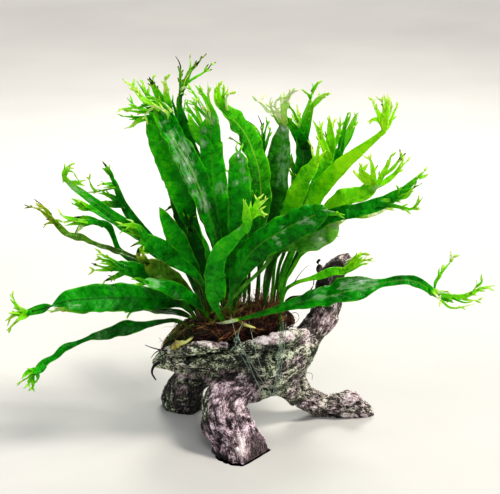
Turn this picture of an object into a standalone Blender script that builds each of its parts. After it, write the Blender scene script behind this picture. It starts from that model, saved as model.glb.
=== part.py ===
"""Java fern grown on a piece of driftwood, at its real size.

The wood is a short log on three legs with one branch that rises at its right end, and it is split at
those forks. A mat of roots lies on the log, with the creeping stems (rhizomes) in it, and every frond
stands on the mat as a solid of its own: a stalk, a blade folded along its midrib, and a crest, which
is the blade's tip slit into fingers. A fishing line ties the plant to the log.

Units are metres, +Z is up, the viewer stands at -Y, and the origin is on the floor under the middle.
"""

import math

import bmesh
import bpy
from mathutils import Matrix, Vector, noise
from mathutils.bvhtree import BVHTree
from mathutils.geometry import convex_hull_2d, interpolate_bezier

MM = 0.001

# ---------------------------------------------------------------- driving dimensions
BLADE_THICKNESS = 0.7 * MM
STALK_WIDTH = 1.3 * MM
CLEARANCE = 0.3 * MM  # between touching pieces
LINE_RADIUS = 0.25 * MM  # fishing line
LINE_SPACING = 1.2 * MM  # between the corners of its loops
FLOOR_CUT_DEPTH = 30 * MM

# How the object stands before the viewer of the 500 x 494 picture that its routes were read from.
PICTURE_MIDDLE = (250, 247)  # pixels
METRES_PER_PIXEL = 0.5 * MM  # at the plant's own distance
VIEW_ELEVATION = math.radians(18)
VIEW_DISTANCE = 850 * MM
VIEW_TARGET = Vector((0, -15 * MM, 97 * MM))
TO_VIEWER = Vector((0, -math.cos(VIEW_ELEVATION), math.sin(VIEW_ELEVATION)))
VIEW_UP = Vector((0, math.sin(VIEW_ELEVATION), math.cos(VIEW_ELEVATION)))
EYE = VIEW_TARGET + TO_VIEWER * VIEW_DISTANCE


def seen(px, py, depth_mm):
    """The point that shows at pixel (px, py) of the picture, depth_mm farther along +Y than its target."""
    right = Vector((1, 0, 0)) * (px - PICTURE_MIDDLE[0]) * METRES_PER_PIXEL
    up = VIEW_UP * (PICTURE_MIDDLE[1] - py) * METRES_PER_PIXEL
    ray = right + up - TO_VIEWER * VIEW_DISTANCE
    return EYE + ray * ((VIEW_TARGET.y + depth_mm * MM - EYE.y) / ray.y)


# ---------------------------------------------------------------- the wood
# A station is (px, py, depth, half width across the view, half depth along it), the last three in mm.
LIMBS = {
    "driftwood_log": dict(
        seed=1,
        sides=14,
        rows=15,
        lumps=0.20,
        stations=[
            (154, 363, -6, 1.6, 3),
            (166, 359, -5, 5.0, 10),
            (185, 358, -3, 6.6, 17),
            (208, 357, -1, 7.8, 20),
            (235, 360, 0, 10.4, 21),
            (258, 361, 1, 14.0, 20),
            (276, 359, 2, 15.2, 18),
            (291, 352, 4, 12.6, 16),
            (304, 344, 6, 8.2, 12),
            (314, 337, 8, 4.5, 8),
        ],
    ),
    "driftwood_front_leg": dict(
        seed=2,
        sides=12,
        rows=14,
        lumps=0.22,
        stations=[
            (252, 368, -4, 6.5, 7),
            (245, 380, -10, 8.6, 9),
            (233, 388, -15, 9.8, 10),
            (221, 400, -21, 10.6, 10),
            (223, 418, -27, 11.2, 11),
            (232, 436, -31, 12.2, 11.5),
            (239, 453, -34, 13.4, 12.5),
            (242, 472, -35, 14.4, 13),
        ],
    ),
    "driftwood_right_leg": dict(
        seed=3,
        sides=12,
        rows=14,
        lumps=0.22,
        stations=[
            (294, 366, 4, 6.0, 7),
            (293, 381, 7, 6.2, 7),
            (300, 394, 9, 6.4, 6.5),
            (317, 403, 12, 5.6, 6.5),
            (336, 407, 14, 6.6, 7.5),
            (353, 405, 15, 8.0, 9),
            (365, 409, 16, 6.0, 8),
        ],
    ),
    "driftwood_left_leg": dict(
        seed=4,
        sides=12,
        rows=12,
        lumps=0.22,
        stations=[
            (226, 366, 6, 5.5, 7),
            (212, 372, 13, 5.8, 7),
            (196, 377, 19, 7.8, 9),
            (185, 386, 23, 10.0, 11),
            (182, 401, 25, 10.4, 11),
            (186, 423, 26, 9.6, 10.5),
        ],
    ),
    "driftwood_branch": dict(
        seed=5,
        sides=12,
        rows=14,
        lumps=0.18,
        stations=[
            (300, 345, 6, 6.5, 7),
            (312, 331, 10, 7.0, 8),
            (322, 314, 13, 8.0, 8),
            (327, 295, 16, 7.4, 7.5),
            (332, 277, 18, 6.8, 7),
            (341, 264, 20, 5.6, 6),
            (351, 257, 21, 4.2, 4.8),
        ],
    ),
}
ROOT_MAT = dict(
    seed=6,
    sides=12,
    rows=12,
    lumps=0.22,
    stations=[
        (163, 351, -6, 2.5, 7),
        (176, 343, -5, 5.2, 13),
        (194, 334, -3, 7.2, 17),
        (216, 329, -1, 8.4, 19),
        (240, 326, 1, 8.8, 19),
        (262, 322, 3, 8.8, 16),
        (280, 320, 5, 6.8, 12),
        (294, 323, 6, 2.8, 6),
    ],
)
# A route point of a creeping stem is (px, py, depth in mm), and its radii are in mm.
RHIZOMES = {
    "rhizome_left": dict(route=[(173, 349, -20), (182, 344, -20), (194, 336, -17)], radius=2.0),
    "rhizome_main": dict(
        route=[(196, 326, -9), (212, 318, -5), (236, 313, -2), (260, 308, 2), (278, 309, 5)], radius=2.6
    ),
    "rhizome_tip": dict(route=[(240, 321, -20), (247, 326, -22), (257, 328, -22)], radius=1.0),
}
# The plane of each loop of line shows as a straight line between two points of the picture.
TIE_LINES = {
    "tie_line_right": dict(top=(285, 328, 0), bottom=(277, 392, 0)),
    "tie_line_left": dict(top=(245, 326, 0), bottom=(270, 392, 0)),
}

# ---------------------------------------------------------------- the fronds
# route and crest hold points (px, py, depth in mm): the midrib from the root mat to the crest, and the
# tip of each finger. width is the blade's, in mm, or a list of (share of the route, mm). stalk is the
# share of the route with no blade, and roll turns the blade about its midrib, in degrees from facing
# the viewer, at the base and at the tip.
FRONDS = {
    "tall_left": dict(
        route=[(211, 312, 6), (205, 280, 5), (192, 240, 1), (176, 200, -6), (161, 160, -13), (153, 122, -19)],
        width=13, stalk=0.24, roll=(-20, -30), tone="green",
        crest=[(126, 97, -22), (117, 108, -26), (119, 117, -22), (124, 129, -20)],
    ),
    "tall_left_front": dict(
        route=[(224, 316, -8), (222, 280, -10), (216, 240, -14), (203, 198, -20), (186, 160, -26),
               (168, 130, -32), (157, 113, -36)],
        width=12.5, stalk=0.22, roll=(5, 12), tone="green",
        crest=[(122, 78, -42), (134, 76, -40), (142, 80, -38), (151, 76, -36), (165, 75, -34)],
    ),
    "tall_top": dict(
        route=[(218, 311, 10), (212, 270, 9), (203, 225, 7), (195, 180, 5), (187, 140, 2), (182, 110, 0),
               (181, 94, -1)],
        width=11, stalk=0.2, roll=(-10, -20), tone="green",
        crest=[(175, 56, -2), (190, 58, 2), (201, 56, 1), (212, 63, -3)],
    ),
    "tall_centre": dict(
        route=[(228, 313, -3), (224, 270, -6), (217, 230, -10), (211, 190, -14), (210, 150, -17),
               (211, 124, -20), (212, 112, -21)],
        width=13, stalk=0.2, roll=(0, 5), tone="green",
        crest=[(190, 88, -22), (199, 84, -24), (209, 80, -25)],
    ),
    "tall_curled": dict(
        route=[(234, 312, 1), (244, 270, 0), (256, 230, -2), (260, 195, -4), (254, 165, -7), (246, 140, -9),
               (235, 122, -11), (224, 112, -12)],
        width=11.5, stalk=0.2, roll=(10, 20), tone="fresh",
        crest=[(214, 87, -14), (222, 81, -13), (232, 91, -9)],
    ),
    "front_wet": dict(
        route=[(233, 318, -13), (236, 275, -17), (240, 235, -21), (243, 200, -25), (242, 172, -28),
               (240, 155, -30)],
        width=11, stalk=0.24, roll=(-10, -10), tone="green",
        crest=[(229, 135, -32), (241, 143, -31), (248, 146, -31)],
    ),
    "upper_arched": dict(
        route=[(261, 308, 7), (266, 265, 9), (270, 230, 9), (271, 195, 7), (275, 160, 5), (281, 136, 3)],
        width=10, stalk=0.3, roll=(10, 10), tone="green",
        crest=[(257, 101, 1), (269, 97, 3), (279, 95, 0), (298, 90, 3)],
    ),
    "upper_forked": dict(
        route=[(272, 308, 3), (282, 262, 3), (294, 215, 4), (301, 180, 5), (303, 155, 6), (300, 133, 7)],
        width=8.5, stalk=0.35, roll=(35, 25), tone="green",
        crest=[(289, 117, 6), (298, 107, 8), (313, 83, 9), (331, 93, 11)],
    ),
    "upper_back": dict(
        route=[(254, 306, 14), (257, 260, 17), (259, 220, 20), (261, 180, 23), (263, 150, 25)],
        width=8, stalk=0.3, roll=(0, 15), tone="green",
        crest=[(247, 115, 26), (258, 114, 27), (266, 117, 25), (271, 126, 28)],
    ),
    "right_fan_left": dict(
        route=[(268, 308, 9), (281, 265, 11), (299, 225, 13), (316, 190, 14), (326, 162, 15)],
        width=8, stalk=0.35, roll=(0, 10), tone="fresh",
        crest=[(313, 120, 16), (321, 121, 19), (329, 116, 15), (337, 119, 13)],
    ),
    "right_fan_right": dict(
        route=[(274, 309, 13), (288, 262, 18), (308, 220, 22), (322, 185, 25), (335, 158, 27)],
        width=7.5, stalk=0.35, roll=(-10, 0), tone="green",
        crest=[(338, 118, 28), (348, 111, 29), (360, 114, 26)],
    ),
    "yellow_long": dict(
        route=[(275, 310, -3), (284, 262, -5), (298, 220, -8), (315, 187, -11), (340, 160, -15),
               (365, 142, -18), (383, 130, -20)],
        width=9, stalk=0.3, roll=(15, 25), tone="fresh",
        crest=[(368, 120, -24), (371, 98, -22), (385, 94, -22), (398, 102, -20)],
    ),
    "bright_mid": dict(
        route=[(267, 311, -8), (274, 262, -11), (288, 215, -15), (301, 186, -18), (314, 164, -20)],
        width=9.5, stalk=0.33, roll=(-10, 0), tone="fresh",
        crest=[(309, 134, -21), (319, 137, -22), (327, 150, -20)],
    ),
    "right_broad": dict(
        route=[(276, 313, -11), (289, 265, -15), (306, 230, -20), (325, 210, -24), (348, 197, -28),
               (370, 184, -32), (384, 175, -34)],
        width=10.5, stalk=0.36, roll=(-15, -10), tone="fresh",
        crest=[(366, 157, -33), (388, 153, -36), (401, 152, -38), (410, 161, -36)],
    ),
    "broad_dark": dict(
        route=[(230, 318, -18), (234, 284, -25), (250, 254, -33), (278, 233, -40), (306, 219, -45),
               (330, 210, -48)],
        width=16, stalk=0.2, roll=(0, 5), tone="green",
        crest=[(347, 199, -49), (358, 207, -52), (350, 218, -50)],
    ),
    "long_dark_right": dict(
        route=[(262, 314, -11), (272, 268, -20), (298, 236, -29), (330, 216, -36), (360, 209, -42),
               (385, 200, -46), (399, 190, -48)],
        width=9, stalk=0.3, roll=(-20, 15), tone="green",
        crest=[(419, 186, -46), (427, 172, -50), (423, 198, -52), (404, 207, -50)],
    ),
    "pale_under": dict(
        route=[(240, 318, -16), (244, 296, -17), (258, 274, -16), (280, 257, -18), (304, 242, -25),
               (328, 229, -30)],
        width=10.5, stalk=0.55, roll=(20, 25), tone="pale",
        crest=[(342, 220, -32), (348, 226, -33), (336, 236, -31)],
    ),
    "small_right": dict(
        route=[(276, 314, 3), (287, 291, 2), (300, 281, 1), (316, 277, 1), (332, 272, 1), (348, 272, 2)],
        width=5, stalk=0.45, roll=(0, 10), tone="fresh",
        crest=[(364, 251, 3), (371, 263, 4), (360, 275, 3)],
    ),
    "long_right": dict(
        route=[(229, 322, -19), (250, 315, -29), (283, 309, -31), (320, 297, -31), (350, 291, -32),
               (383, 283, -33), (405, 280, -33), (422, 286, -32), (436, 296, -31)],
        width=[(0, 1.6), (0.26, 2.6), (0.4, 8), (0.56, 11.5), (0.68, 6), (0.74, 1.8), (0.82, 5), (0.93, 5),
               (1, 3.5)],
        stalk=0.26, roll=(0, 15), tone="green",
        crest=[(457, 254, -30), (482, 273, -28), (494, 288, -31), (470, 306, -32)],
    ),
    "left_wavy": dict(
        route=[(190, 328, -17), (166, 321, -24), (145, 322, -27), (125, 328, -30), (100, 336, -34),
               (84, 341, -37), (65, 352, -40), (48, 364, -42), (36, 373, -44)],
        width=[(0, 1.4), (0.2, 1.8), (0.28, 4), (0.38, 6.5), (0.54, 6), (0.63, 2.4), (0.74, 4), (0.9, 3),
               (1, 3.5)],
        stalk=0.2, roll=(10, 30), tone="green",
        crest=[(20, 377, -46), (18, 385, -44), (24, 389, -43), (32, 390, -46)],
    ),
    "left_wide": dict(
        route=[(196, 320, -13), (184, 303, -17), (160, 297, -20), (125, 297, -24), (90, 298, -28),
               (60, 303, -31), (44, 308, -33), (30, 312, -34)],
        width=[(0, 1.6), (0.12, 3), (0.28, 12), (0.45, 15), (0.64, 13), (0.8, 7.5), (0.88, 4.5), (0.94, 5),
               (1, 3)],
        stalk=0.1, roll=(0, 10), tone="green",
        crest=[(6, 331, -35), (4, 320, -36), (10, 309, -38), (11, 294, -37)],
    ),
    "left_drooping": dict(
        route=[(193, 323, 0), (172, 313, 3), (152, 310, 4), (139, 306, 3), (131, 310, 2)],
        width=4.5, stalk=0.25, roll=(20, 40), tone="green",
        crest=[(127, 319, 1), (124, 311, 3)],
    ),
    "left_low": dict(
        route=[(199, 318, 7), (184, 296, 5), (165, 284, 3), (145, 275, 1), (122, 266, -2)],
        width=8, stalk=0.25, roll=(20, 0), tone="green",
        crest=[(103, 281, -1), (91, 269, -4), (92, 263, -6), (97, 259, -5), (99, 253, -3)],
    ),
    "left_long_thin": dict(
        route=[(202, 316, 13), (180, 287, 14), (150, 263, 13), (120, 250, 11), (95, 243, 9), (75, 237, 7),
               (60, 229, 5), (51, 219, 4)],
        width=[(0, 1.4), (0.25, 3), (0.4, 4.5), (0.55, 3.2), (0.75, 5.5), (0.9, 4), (1, 3)],
        stalk=0.25, roll=(20, 30), tone="olive",
        crest=[(42, 227, 4), (24, 208, 1), (34, 199, 4)],
    ),
    "left_arching": dict(
        route=[(199, 314, 9), (185, 276, 18), (161, 252, 20), (136, 235, 18), (115, 224, 16), (95, 221, 14)],
        width=6, stalk=0.3, roll=(-10, 10), tone="green",
        crest=[(75, 236, 12), (63, 228, 13), (61, 218, 15), (72, 209, 16)],
    ),
    "left_high": dict(
        route=[(206, 314, -3), (191, 277, -7), (165, 254, -12), (140, 233, -16), (115, 215, -20), (92, 200, -23),
               (74, 187, -25)],
        width=6.5, stalk=0.28, roll=(-20, -10), tone="green",
        crest=[(62, 178, -27), (68, 164, -25), (83, 179, -23)],
    ),
    "left_high_back": dict(
        route=[(204, 311, 17), (187, 272, 28), (161, 250, 32), (136, 234, 34), (112, 219, 36), (94, 208, 38)],
        width=6.5, stalk=0.3, roll=(10, 0), tone="green",
        crest=[(79, 208, 38), (72, 204, 40), (71, 198, 41)],
    ),
    "left_upright_dark": dict(
        route=[(209, 312, 14), (191, 266, 12), (168, 243, 11), (146, 226, 11), (129, 208, 12), (119, 190, 13)],
        width=8.5, stalk=0.3, roll=(-15, 0), tone="green",
        crest=[(88, 188, 14), (100, 163, 16), (112, 168, 15)],
    ),
    "left_dark_wide": dict(
        route=[(207, 318, -7), (195, 288, -11), (176, 268, -15), (157, 251, -19), (137, 236, -23)],
        width=9, stalk=0.24, roll=(-10, -25), tone="green",
        crest=[(127, 246, -24), (119, 232, -26), (124, 221, -25)],
    ),
    "left_brown": dict(
        route=[(206, 322, -13), (191, 295, -19), (171, 279, -24), (153, 267, -27), (141, 259, -29)],
        width=9, stalk=0.2, roll=(-25, -15), tone="olive",
        crest=[(132, 263, -30), (134, 253, -31), (141, 252, -30)],
    ),
    "left_pale": dict(
        route=[(211, 321, -15), (196, 302, -23), (174, 291, -29), (154, 284, -33), (143, 281, -35)],
        width=7.5, stalk=0.2, roll=(15, 5), tone="pale",
        crest=[(136, 279, -36), (135, 284, -36)],
    ),
    "upright_lance": dict(
        route=[(214, 314, -8), (202, 283, -8), (187, 259, -9), (172, 236, -11), (161, 212, -13)],
        width=7.5, stalk=0.2, roll=(0, 0), tone="fresh",
        crest=[(158, 205, -13)],
    ),
    "upright_lance_dark": dict(
        route=[(215, 312, -1), (204, 272, -3), (191, 245, -4), (179, 226, -5), (171, 215, -6)],
        width=6, stalk=0.2, roll=(15, 20), tone="green",
        crest=[(166, 211, -6)],
    ),
    "centre_front": dict(
        route=[(219, 321, -16), (215, 303, -27), (213, 285, -34), (213, 268, -39), (221, 250, -43),
               (235, 238, -46), (246, 225, -48), (248, 213, -48)],
        width=[(0, 1.8), (0.14, 3), (0.26, 9), (0.4, 11), (0.56, 10), (0.7, 6.5), (0.86, 4.5), (1, 5)],
        stalk=0.1, roll=(0, 20), tone="fresh",
        crest=[(242, 200, -49), (248, 199, -48), (254, 199, -50), (268, 198, -49), (265, 215, -46)],
    ),
    "centre_dark": dict(
        route=[(249, 315, -8), (249, 285, -11), (250, 255, -13), (252, 225, -14), (252, 200, -15)],
        width=8, stalk=0.3, roll=(20, 10), tone="green",
        crest=[(247, 186, -16), (254, 184, -14)],
    ),
    "behind_tall_left": dict(
        route=[(217, 311, 15), (203, 262, 17), (187, 228, 16), (176, 204, 13)],
        width=8, stalk=0.3, roll=(-10, 0), tone="green",
        crest=[(168, 190, 11), (174, 187, 10)],
    ),
    "back_centre": dict(
        route=[(238, 307, 20), (234, 262, 31), (230, 222, 42), (228, 190, 52)],
        width=9, stalk=0.3, roll=(0, 0), tone="green",
        crest=[(220, 174, 56), (228, 170, 58), (236, 174, 57)],
    ),
    "back_left": dict(
        route=[(226, 307, 20), (216, 266, 36), (205, 232, 50), (198, 205, 62)],
        width=8.5, stalk=0.3, roll=(-10, -10), tone="green",
        crest=[(188, 194, 66), (194, 189, 68), (201, 189, 67)],
    ),
    "back_right": dict(
        route=[(250, 307, 17), (254, 262, 34), (260, 225, 48), (268, 196, 60)],
        width=8.5, stalk=0.3, roll=(10, 10), tone="green",
        crest=[(266, 180, 64), (273, 178, 66), (279, 184, 64)],
    ),
    "back_tall": dict(
        route=[(238, 306, 12), (246, 255, 20), (254, 212, 28), (258, 182, 34)],
        width=9.5, stalk=0.25, roll=(0, -10), tone="green",
        crest=[(251, 166, 36), (258, 161, 37), (265, 166, 36)],
    ),
    "back_tall_left": dict(
        route=[(225, 308, 14), (217, 255, 22), (208, 205, 30), (200, 165, 36), (195, 140, 40)],
        width=9, stalk=0.25, roll=(0, 10), tone="green",
        crest=[(186, 124, 42), (193, 118, 43), (200, 124, 42)],
    ),
    "back_low_left": dict(
        route=[(211, 307, 19), (206, 283, 42), (202, 262, 57), (199, 246, 71)],
        width=8, stalk=0.25, roll=(0, 0), tone="green",
        crest=[(190, 240, 77), (196, 234, 79), (204, 236, 78)],
    ),
    "back_right_far": dict(
        route=[(256, 306, 15), (266, 262, 30), (280, 225, 44), (298, 198, 56)],
        width=8, stalk=0.3, roll=(0, 10), tone="green",
        crest=[(305, 186, 60), (311, 190, 62), (299, 182, 60)],
    ),
    "back_left_far": dict(
        route=[(219, 307, 20), (206, 272, 35), (190, 246, 50), (177, 228, 64)],
        width=8, stalk=0.3, roll=(0, -10), tone="green",
        crest=[(166, 221, 68), (170, 215, 70), (179, 215, 70)],
    ),
    "back_mid_high": dict(
        route=[(244, 307, 15), (245, 262, 26), (247, 215, 38), (248, 172, 48)],
        width=8.5, stalk=0.25, roll=(0, 10), tone="green",
        crest=[(242, 158, 52), (248, 153, 54), (255, 156, 52)],
    ),
    "back_left_mid": dict(
        route=[(196, 314, 14), (190, 280, 40), (184, 256, 58), (177, 243, 73)],
        width=7.5, stalk=0.25, roll=(10, 0), tone="fresh",
        crest=[(167, 237, 78), (171, 230, 81), (181, 232, 80)],
    ),
    "back_low": dict(
        route=[(231, 306, 12), (228, 280, 39), (225, 258, 58), (224, 241, 74)],
        width=8, stalk=0.25, roll=(10, 0), tone="fresh",
        crest=[(217, 232, 80), (224, 228, 82), (232, 232, 80)],
    ),
}

TONES = {  # base colour of each frond material
    "green": (0.035, 0.20, 0.015),
    "fresh": (0.12, 0.38, 0.015),
    "olive": (0.13, 0.17, 0.02),
    "pale": (0.24, 0.40, 0.14),
}
BARK_COLOUR = (0.16, 0.115, 0.11)
ROOT_COLOUR = (0.06, 0.03, 0.018)
RHIZOME_COLOUR = (0.23, 0.20, 0.04)
LINE_COLOUR = (0.55, 0.75, 0.62)

ROW_SPACING = 14 * MM  # between the cross sections of a frond's solid
FEWEST_ROWS = 6
MOST_ROWS = 9
FOLD = 0.13  # how far the blade's edges stand over its midrib, as a share of its width
FINGER_ROOT = 1.5 * MM  # least width of each finger where it leaves the blade
FINGER_SHARE = 0.36  # half a finger's width, at most, as a share of the distance to the next one


# ---------------------------------------------------------------- helpers
def clear_scene():
    for obj in list(bpy.data.objects):
        bpy.data.objects.remove(obj)


def new_collection(name, rendered=True):
    collection = bpy.data.collections.new(name)
    collection.hide_render = not rendered
    bpy.context.scene.collection.children.link(collection)
    return collection


def make_material(name, colour, roughness=0.6):
    material = bpy.data.materials.new(name)
    material.use_nodes = True
    shader = material.node_tree.nodes["Principled BSDF"]
    shader.inputs["Base Color"].default_value = (*colour, 1)
    shader.inputs["Roughness"].default_value = roughness
    material.diffuse_color = (*colour, 1)
    return material


def add_object(name, data, collection, material):
    obj = bpy.data.objects.new(name, data)
    collection.objects.link(obj)
    data.materials.append(material)
    return obj


def object_from_bmesh(name, bm, collection, material, smooth=True):
    bmesh.ops.recalc_face_normals(bm, faces=bm.faces)
    mesh = bpy.data.meshes.new(name)
    bm.to_mesh(mesh)
    bm.free()
    if smooth:
        mesh.shade_smooth()
    return add_object(name, mesh, collection, material)


def smooth_route(points, count):
    """count values at even distances along a Catmull-Rom curve through the points; the first three
    numbers of each point are its place, and any others go along with it."""
    size = len(points[0])
    ends = [points[0], *points, points[-1]]
    fine = []
    for i in range(1, len(ends) - 2):
        a, b, c, d = ends[i - 1 : i + 3]
        for step in range(12):
            t = step / 12
            fine.append([
                0.5 * (2 * b[k] + (c[k] - a[k]) * t + (2 * a[k] - 5 * b[k] + 4 * c[k] - d[k]) * t * t
                       + (3 * b[k] - a[k] - 3 * c[k] + d[k]) * t**3)
                for k in range(size)
            ])
    fine.append(list(points[-1]))
    travelled = [0.0]
    for a, b in zip(fine, fine[1:]):
        travelled.append(travelled[-1] + (Vector(b[:3]) - Vector(a[:3])).length)
    result, j = [], 0
    for i in range(count):
        goal = travelled[-1] * i / (count - 1)
        while j < len(fine) - 2 and travelled[j + 1] < goal:
            j += 1
        share = (goal - travelled[j]) / max(travelled[j + 1] - travelled[j], 1e-9)
        result.append([fine[j][k] + (fine[j + 1][k] - fine[j][k]) * share for k in range(size)])
    return result


def tangents(points, reach=1):
    """Unit directions of travel at each point, from the point this many places before it to the one after."""
    last = len(points) - 1
    return [(points[min(i + reach, last)] - points[max(i - reach, 0)]).normalized() for i in range(last + 1)]


def loft(bm, rows, closed):
    """Faces between rows of vertices that have the same length."""
    for first, second in zip(rows, rows[1:]):
        count = len(first)
        for i in range(count if closed else count - 1):
            j = (i + 1) % count
            bm.faces.new((first[i], first[j], second[j], second[i]))


def evaluated_tree(objects, depsgraph):
    """One BVH tree of the objects as they are after their modifiers, in world space."""
    points, faces = [], []
    for obj in objects:
        mesh = obj.evaluated_get(depsgraph).to_mesh()
        start = len(points)
        points += [obj.matrix_world @ v.co for v in mesh.vertices]
        faces += [[start + i for i in polygon.vertices] for polygon in mesh.polygons]
    return BVHTree.FromPolygons(points, faces), points


# ---------------------------------------------------------------- wood, roots and rhizomes
def rough_limb(name, shape, collection, material):
    """A loft of lumpy ovals along a limb's route, with both ends closed."""
    placed = []
    for px, py, depth, half_width, half_depth in shape["stations"]:
        placed.append((*seen(px, py, depth), half_width * MM, half_depth * MM))
    stations = smooth_route(placed, shape["rows"])
    centres = [Vector(s[:3]) for s in stations]
    bm = bmesh.new()
    rows = []
    headings = tangents(centres, reach=3)
    for i, (centre, along) in enumerate(zip(centres, headings)):
        across = along.cross(TO_VIEWER).normalized()
        outward = across.cross(along)
        row = []
        for k in range(shape["sides"]):
            angle = math.tau * k / shape["sides"]
            way = across * math.cos(angle) * stations[i][3] + outward * math.sin(angle) * stations[i][4]
            spot = (centre + way) / (9 * MM) + Vector((shape["seed"] * 17, 0, 0))
            swell = 1 + shape["lumps"] * noise.noise(spot) + 0.5 * shape["lumps"] * noise.noise(spot * 2.3)
            row.append(bm.verts.new(centre + way * swell))
        rows.append(row)
    loft(bm, rows, closed=True)
    for end, way in ((0, -1), (-1, 1)):
        row = rows[end]
        pole = bm.verts.new(centres[end] + headings[end] * way * stations[end][3] * 0.35)
        for k in range(len(row)):
            bm.faces.new((row[k], row[(k + 1) % len(row)], pole))
    bmesh.ops.triangulate(bm, faces=bm.faces)  # a bent quad would be split one way here, another in a cutter
    return object_from_bmesh(name, bm, collection, material)


def cut(obj, cutter):
    modifier = obj.modifiers.new("cut by " + cutter.name, "BOOLEAN")
    modifier.operation = "DIFFERENCE"
    modifier.object = cutter


def swollen_copy(obj, collection):
    """A cutter a little larger than the piece, so that what it cuts keeps a gap to the piece."""
    copy = obj.copy()
    copy.name = obj.name + "_clearance"
    copy.hide_render = True
    copy.display_type = "WIRE"
    collection.objects.link(copy)
    swell = copy.modifiers.new("clearance", "DISPLACE")
    swell.strength = CLEARANCE
    swell.mid_level = 0
    return copy


def make_floor_cutter(collection):
    """A box under the floor: what reaches below it is cut off flat."""
    bm = bmesh.new()
    bmesh.ops.create_cube(bm, size=1, matrix=Matrix.Diagonal((0.4, 0.4, FLOOR_CUT_DEPTH, 1)))
    bmesh.ops.translate(bm, verts=bm.verts, vec=(0, 0, -FLOOR_CUT_DEPTH / 2))
    box = object_from_bmesh("floor_cutter", bm, collection, bpy.data.materials["driftwood"], smooth=False)
    box.hide_render = True
    box.display_type = "WIRE"
    return box


def make_rhizome(name, spec, collection, material):
    """A creeping stem: a tube along its route, thinner at both ends."""
    count = 9
    points = smooth_route([tuple(seen(*p)) for p in spec["route"]], count)
    curve = bpy.data.curves.new(name, "CURVE")
    curve.dimensions = "3D"
    curve.bevel_depth = spec["radius"] * MM
    curve.bevel_resolution = 1
    curve.use_fill_caps = True
    spline = curve.splines.new("POLY")
    spline.points.add(count - 1)
    for i, (point, place) in enumerate(zip(spline.points, points)):
        point.co = (*place, 1)
        point.radius = 0.55 + 0.45 * math.sin(math.pi * i / (count - 1))
    holder = bpy.data.objects.new(name + "_curve", curve)
    collection.objects.link(holder)
    depsgraph = bpy.context.evaluated_depsgraph_get()
    mesh = bpy.data.meshes.new_from_object(holder.evaluated_get(depsgraph))
    mesh.name = name
    bpy.data.objects.remove(holder)
    bm = bmesh.new()
    bm.from_mesh(mesh)
    bmesh.ops.remove_doubles(bm, verts=bm.verts, dist=1e-6)
    bm.to_mesh(mesh)
    bm.free()
    mesh.materials.clear()
    return add_object(name, mesh, collection, material)


# ---------------------------------------------------------------- fishing line
def make_tie_line(name, spec, wrapped, collection, material, depsgraph):
    """A taut loop: the convex outline of the section that a plane cuts through what the line wraps."""
    top, bottom = seen(*spec["top"]), seen(*spec["bottom"])
    down = (bottom - top).normalized()
    normal = down.cross(Vector((0, 1, 0))).normalized()
    back = normal.cross(down)
    standoff = LINE_RADIUS + CLEARANCE
    ring = [Vector((math.cos(a), math.sin(a))) * standoff for a in (math.tau * k / 8 for k in range(8))]
    section = []
    for obj in wrapped:
        mesh = obj.evaluated_get(depsgraph).to_mesh()
        for edge in mesh.edges:
            a, b = (obj.matrix_world @ mesh.vertices[i].co for i in edge.vertices)
            side_a, side_b = (a - top).dot(normal), (b - top).dot(normal)
            if side_a * side_b < 0:
                at = a.lerp(b, side_a / (side_a - side_b)) - top
                section += [Vector((at.dot(back), at.dot(down))) + way for way in ring]
    outline = []
    for i in convex_hull_2d(section):
        if not outline or (section[i] - outline[-1]).length > LINE_SPACING:
            outline.append(section[i])
    curve = bpy.data.curves.new(name, "CURVE")
    curve.dimensions = "3D"
    curve.bevel_depth = LINE_RADIUS
    curve.bevel_resolution = 0
    spline = curve.splines.new("POLY")
    spline.points.add(len(outline) - 1)
    for point, flat in zip(spline.points, outline):
        point.co = (*(top + back * flat.x + down * flat.y), 1)
    spline.use_cyclic_u = True
    return add_object(name, curve, collection, material)


# ---------------------------------------------------------------- fronds
def blade_width(spec, share):
    """The blade's width at a share of the route, in metres."""
    knots = spec["width"]
    if not isinstance(knots, list):
        stalk = spec["stalk"]
        grown = stalk + (1 - stalk) * 0.12
        knots = [(0, STALK_WIDTH / MM), (stalk, STALK_WIDTH / MM), (grown, 0.42 * knots),
                 (stalk + (1 - stalk) * 0.3, 0.9 * knots), (stalk + (1 - stalk) * 0.52, knots),
                 (stalk + (1 - stalk) * 0.78, 0.8 * knots), (1, 0.42 * knots)]
    for (a, wide_a), (b, wide_b) in zip(knots, knots[1:]):
        if share <= b:
            return (wide_a + (wide_b - wide_a) * (share - a) / (b - a)) * MM
    return knots[-1][1] * MM


def frame_at(along, roll_degrees):
    """Across and face directions of a ribbon that travels along; at roll 0 it faces the viewer."""
    across = along.cross(TO_VIEWER).normalized()
    across.rotate(Matrix.Rotation(math.radians(roll_degrees), 3, along))
    return across, across.cross(along)


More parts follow.
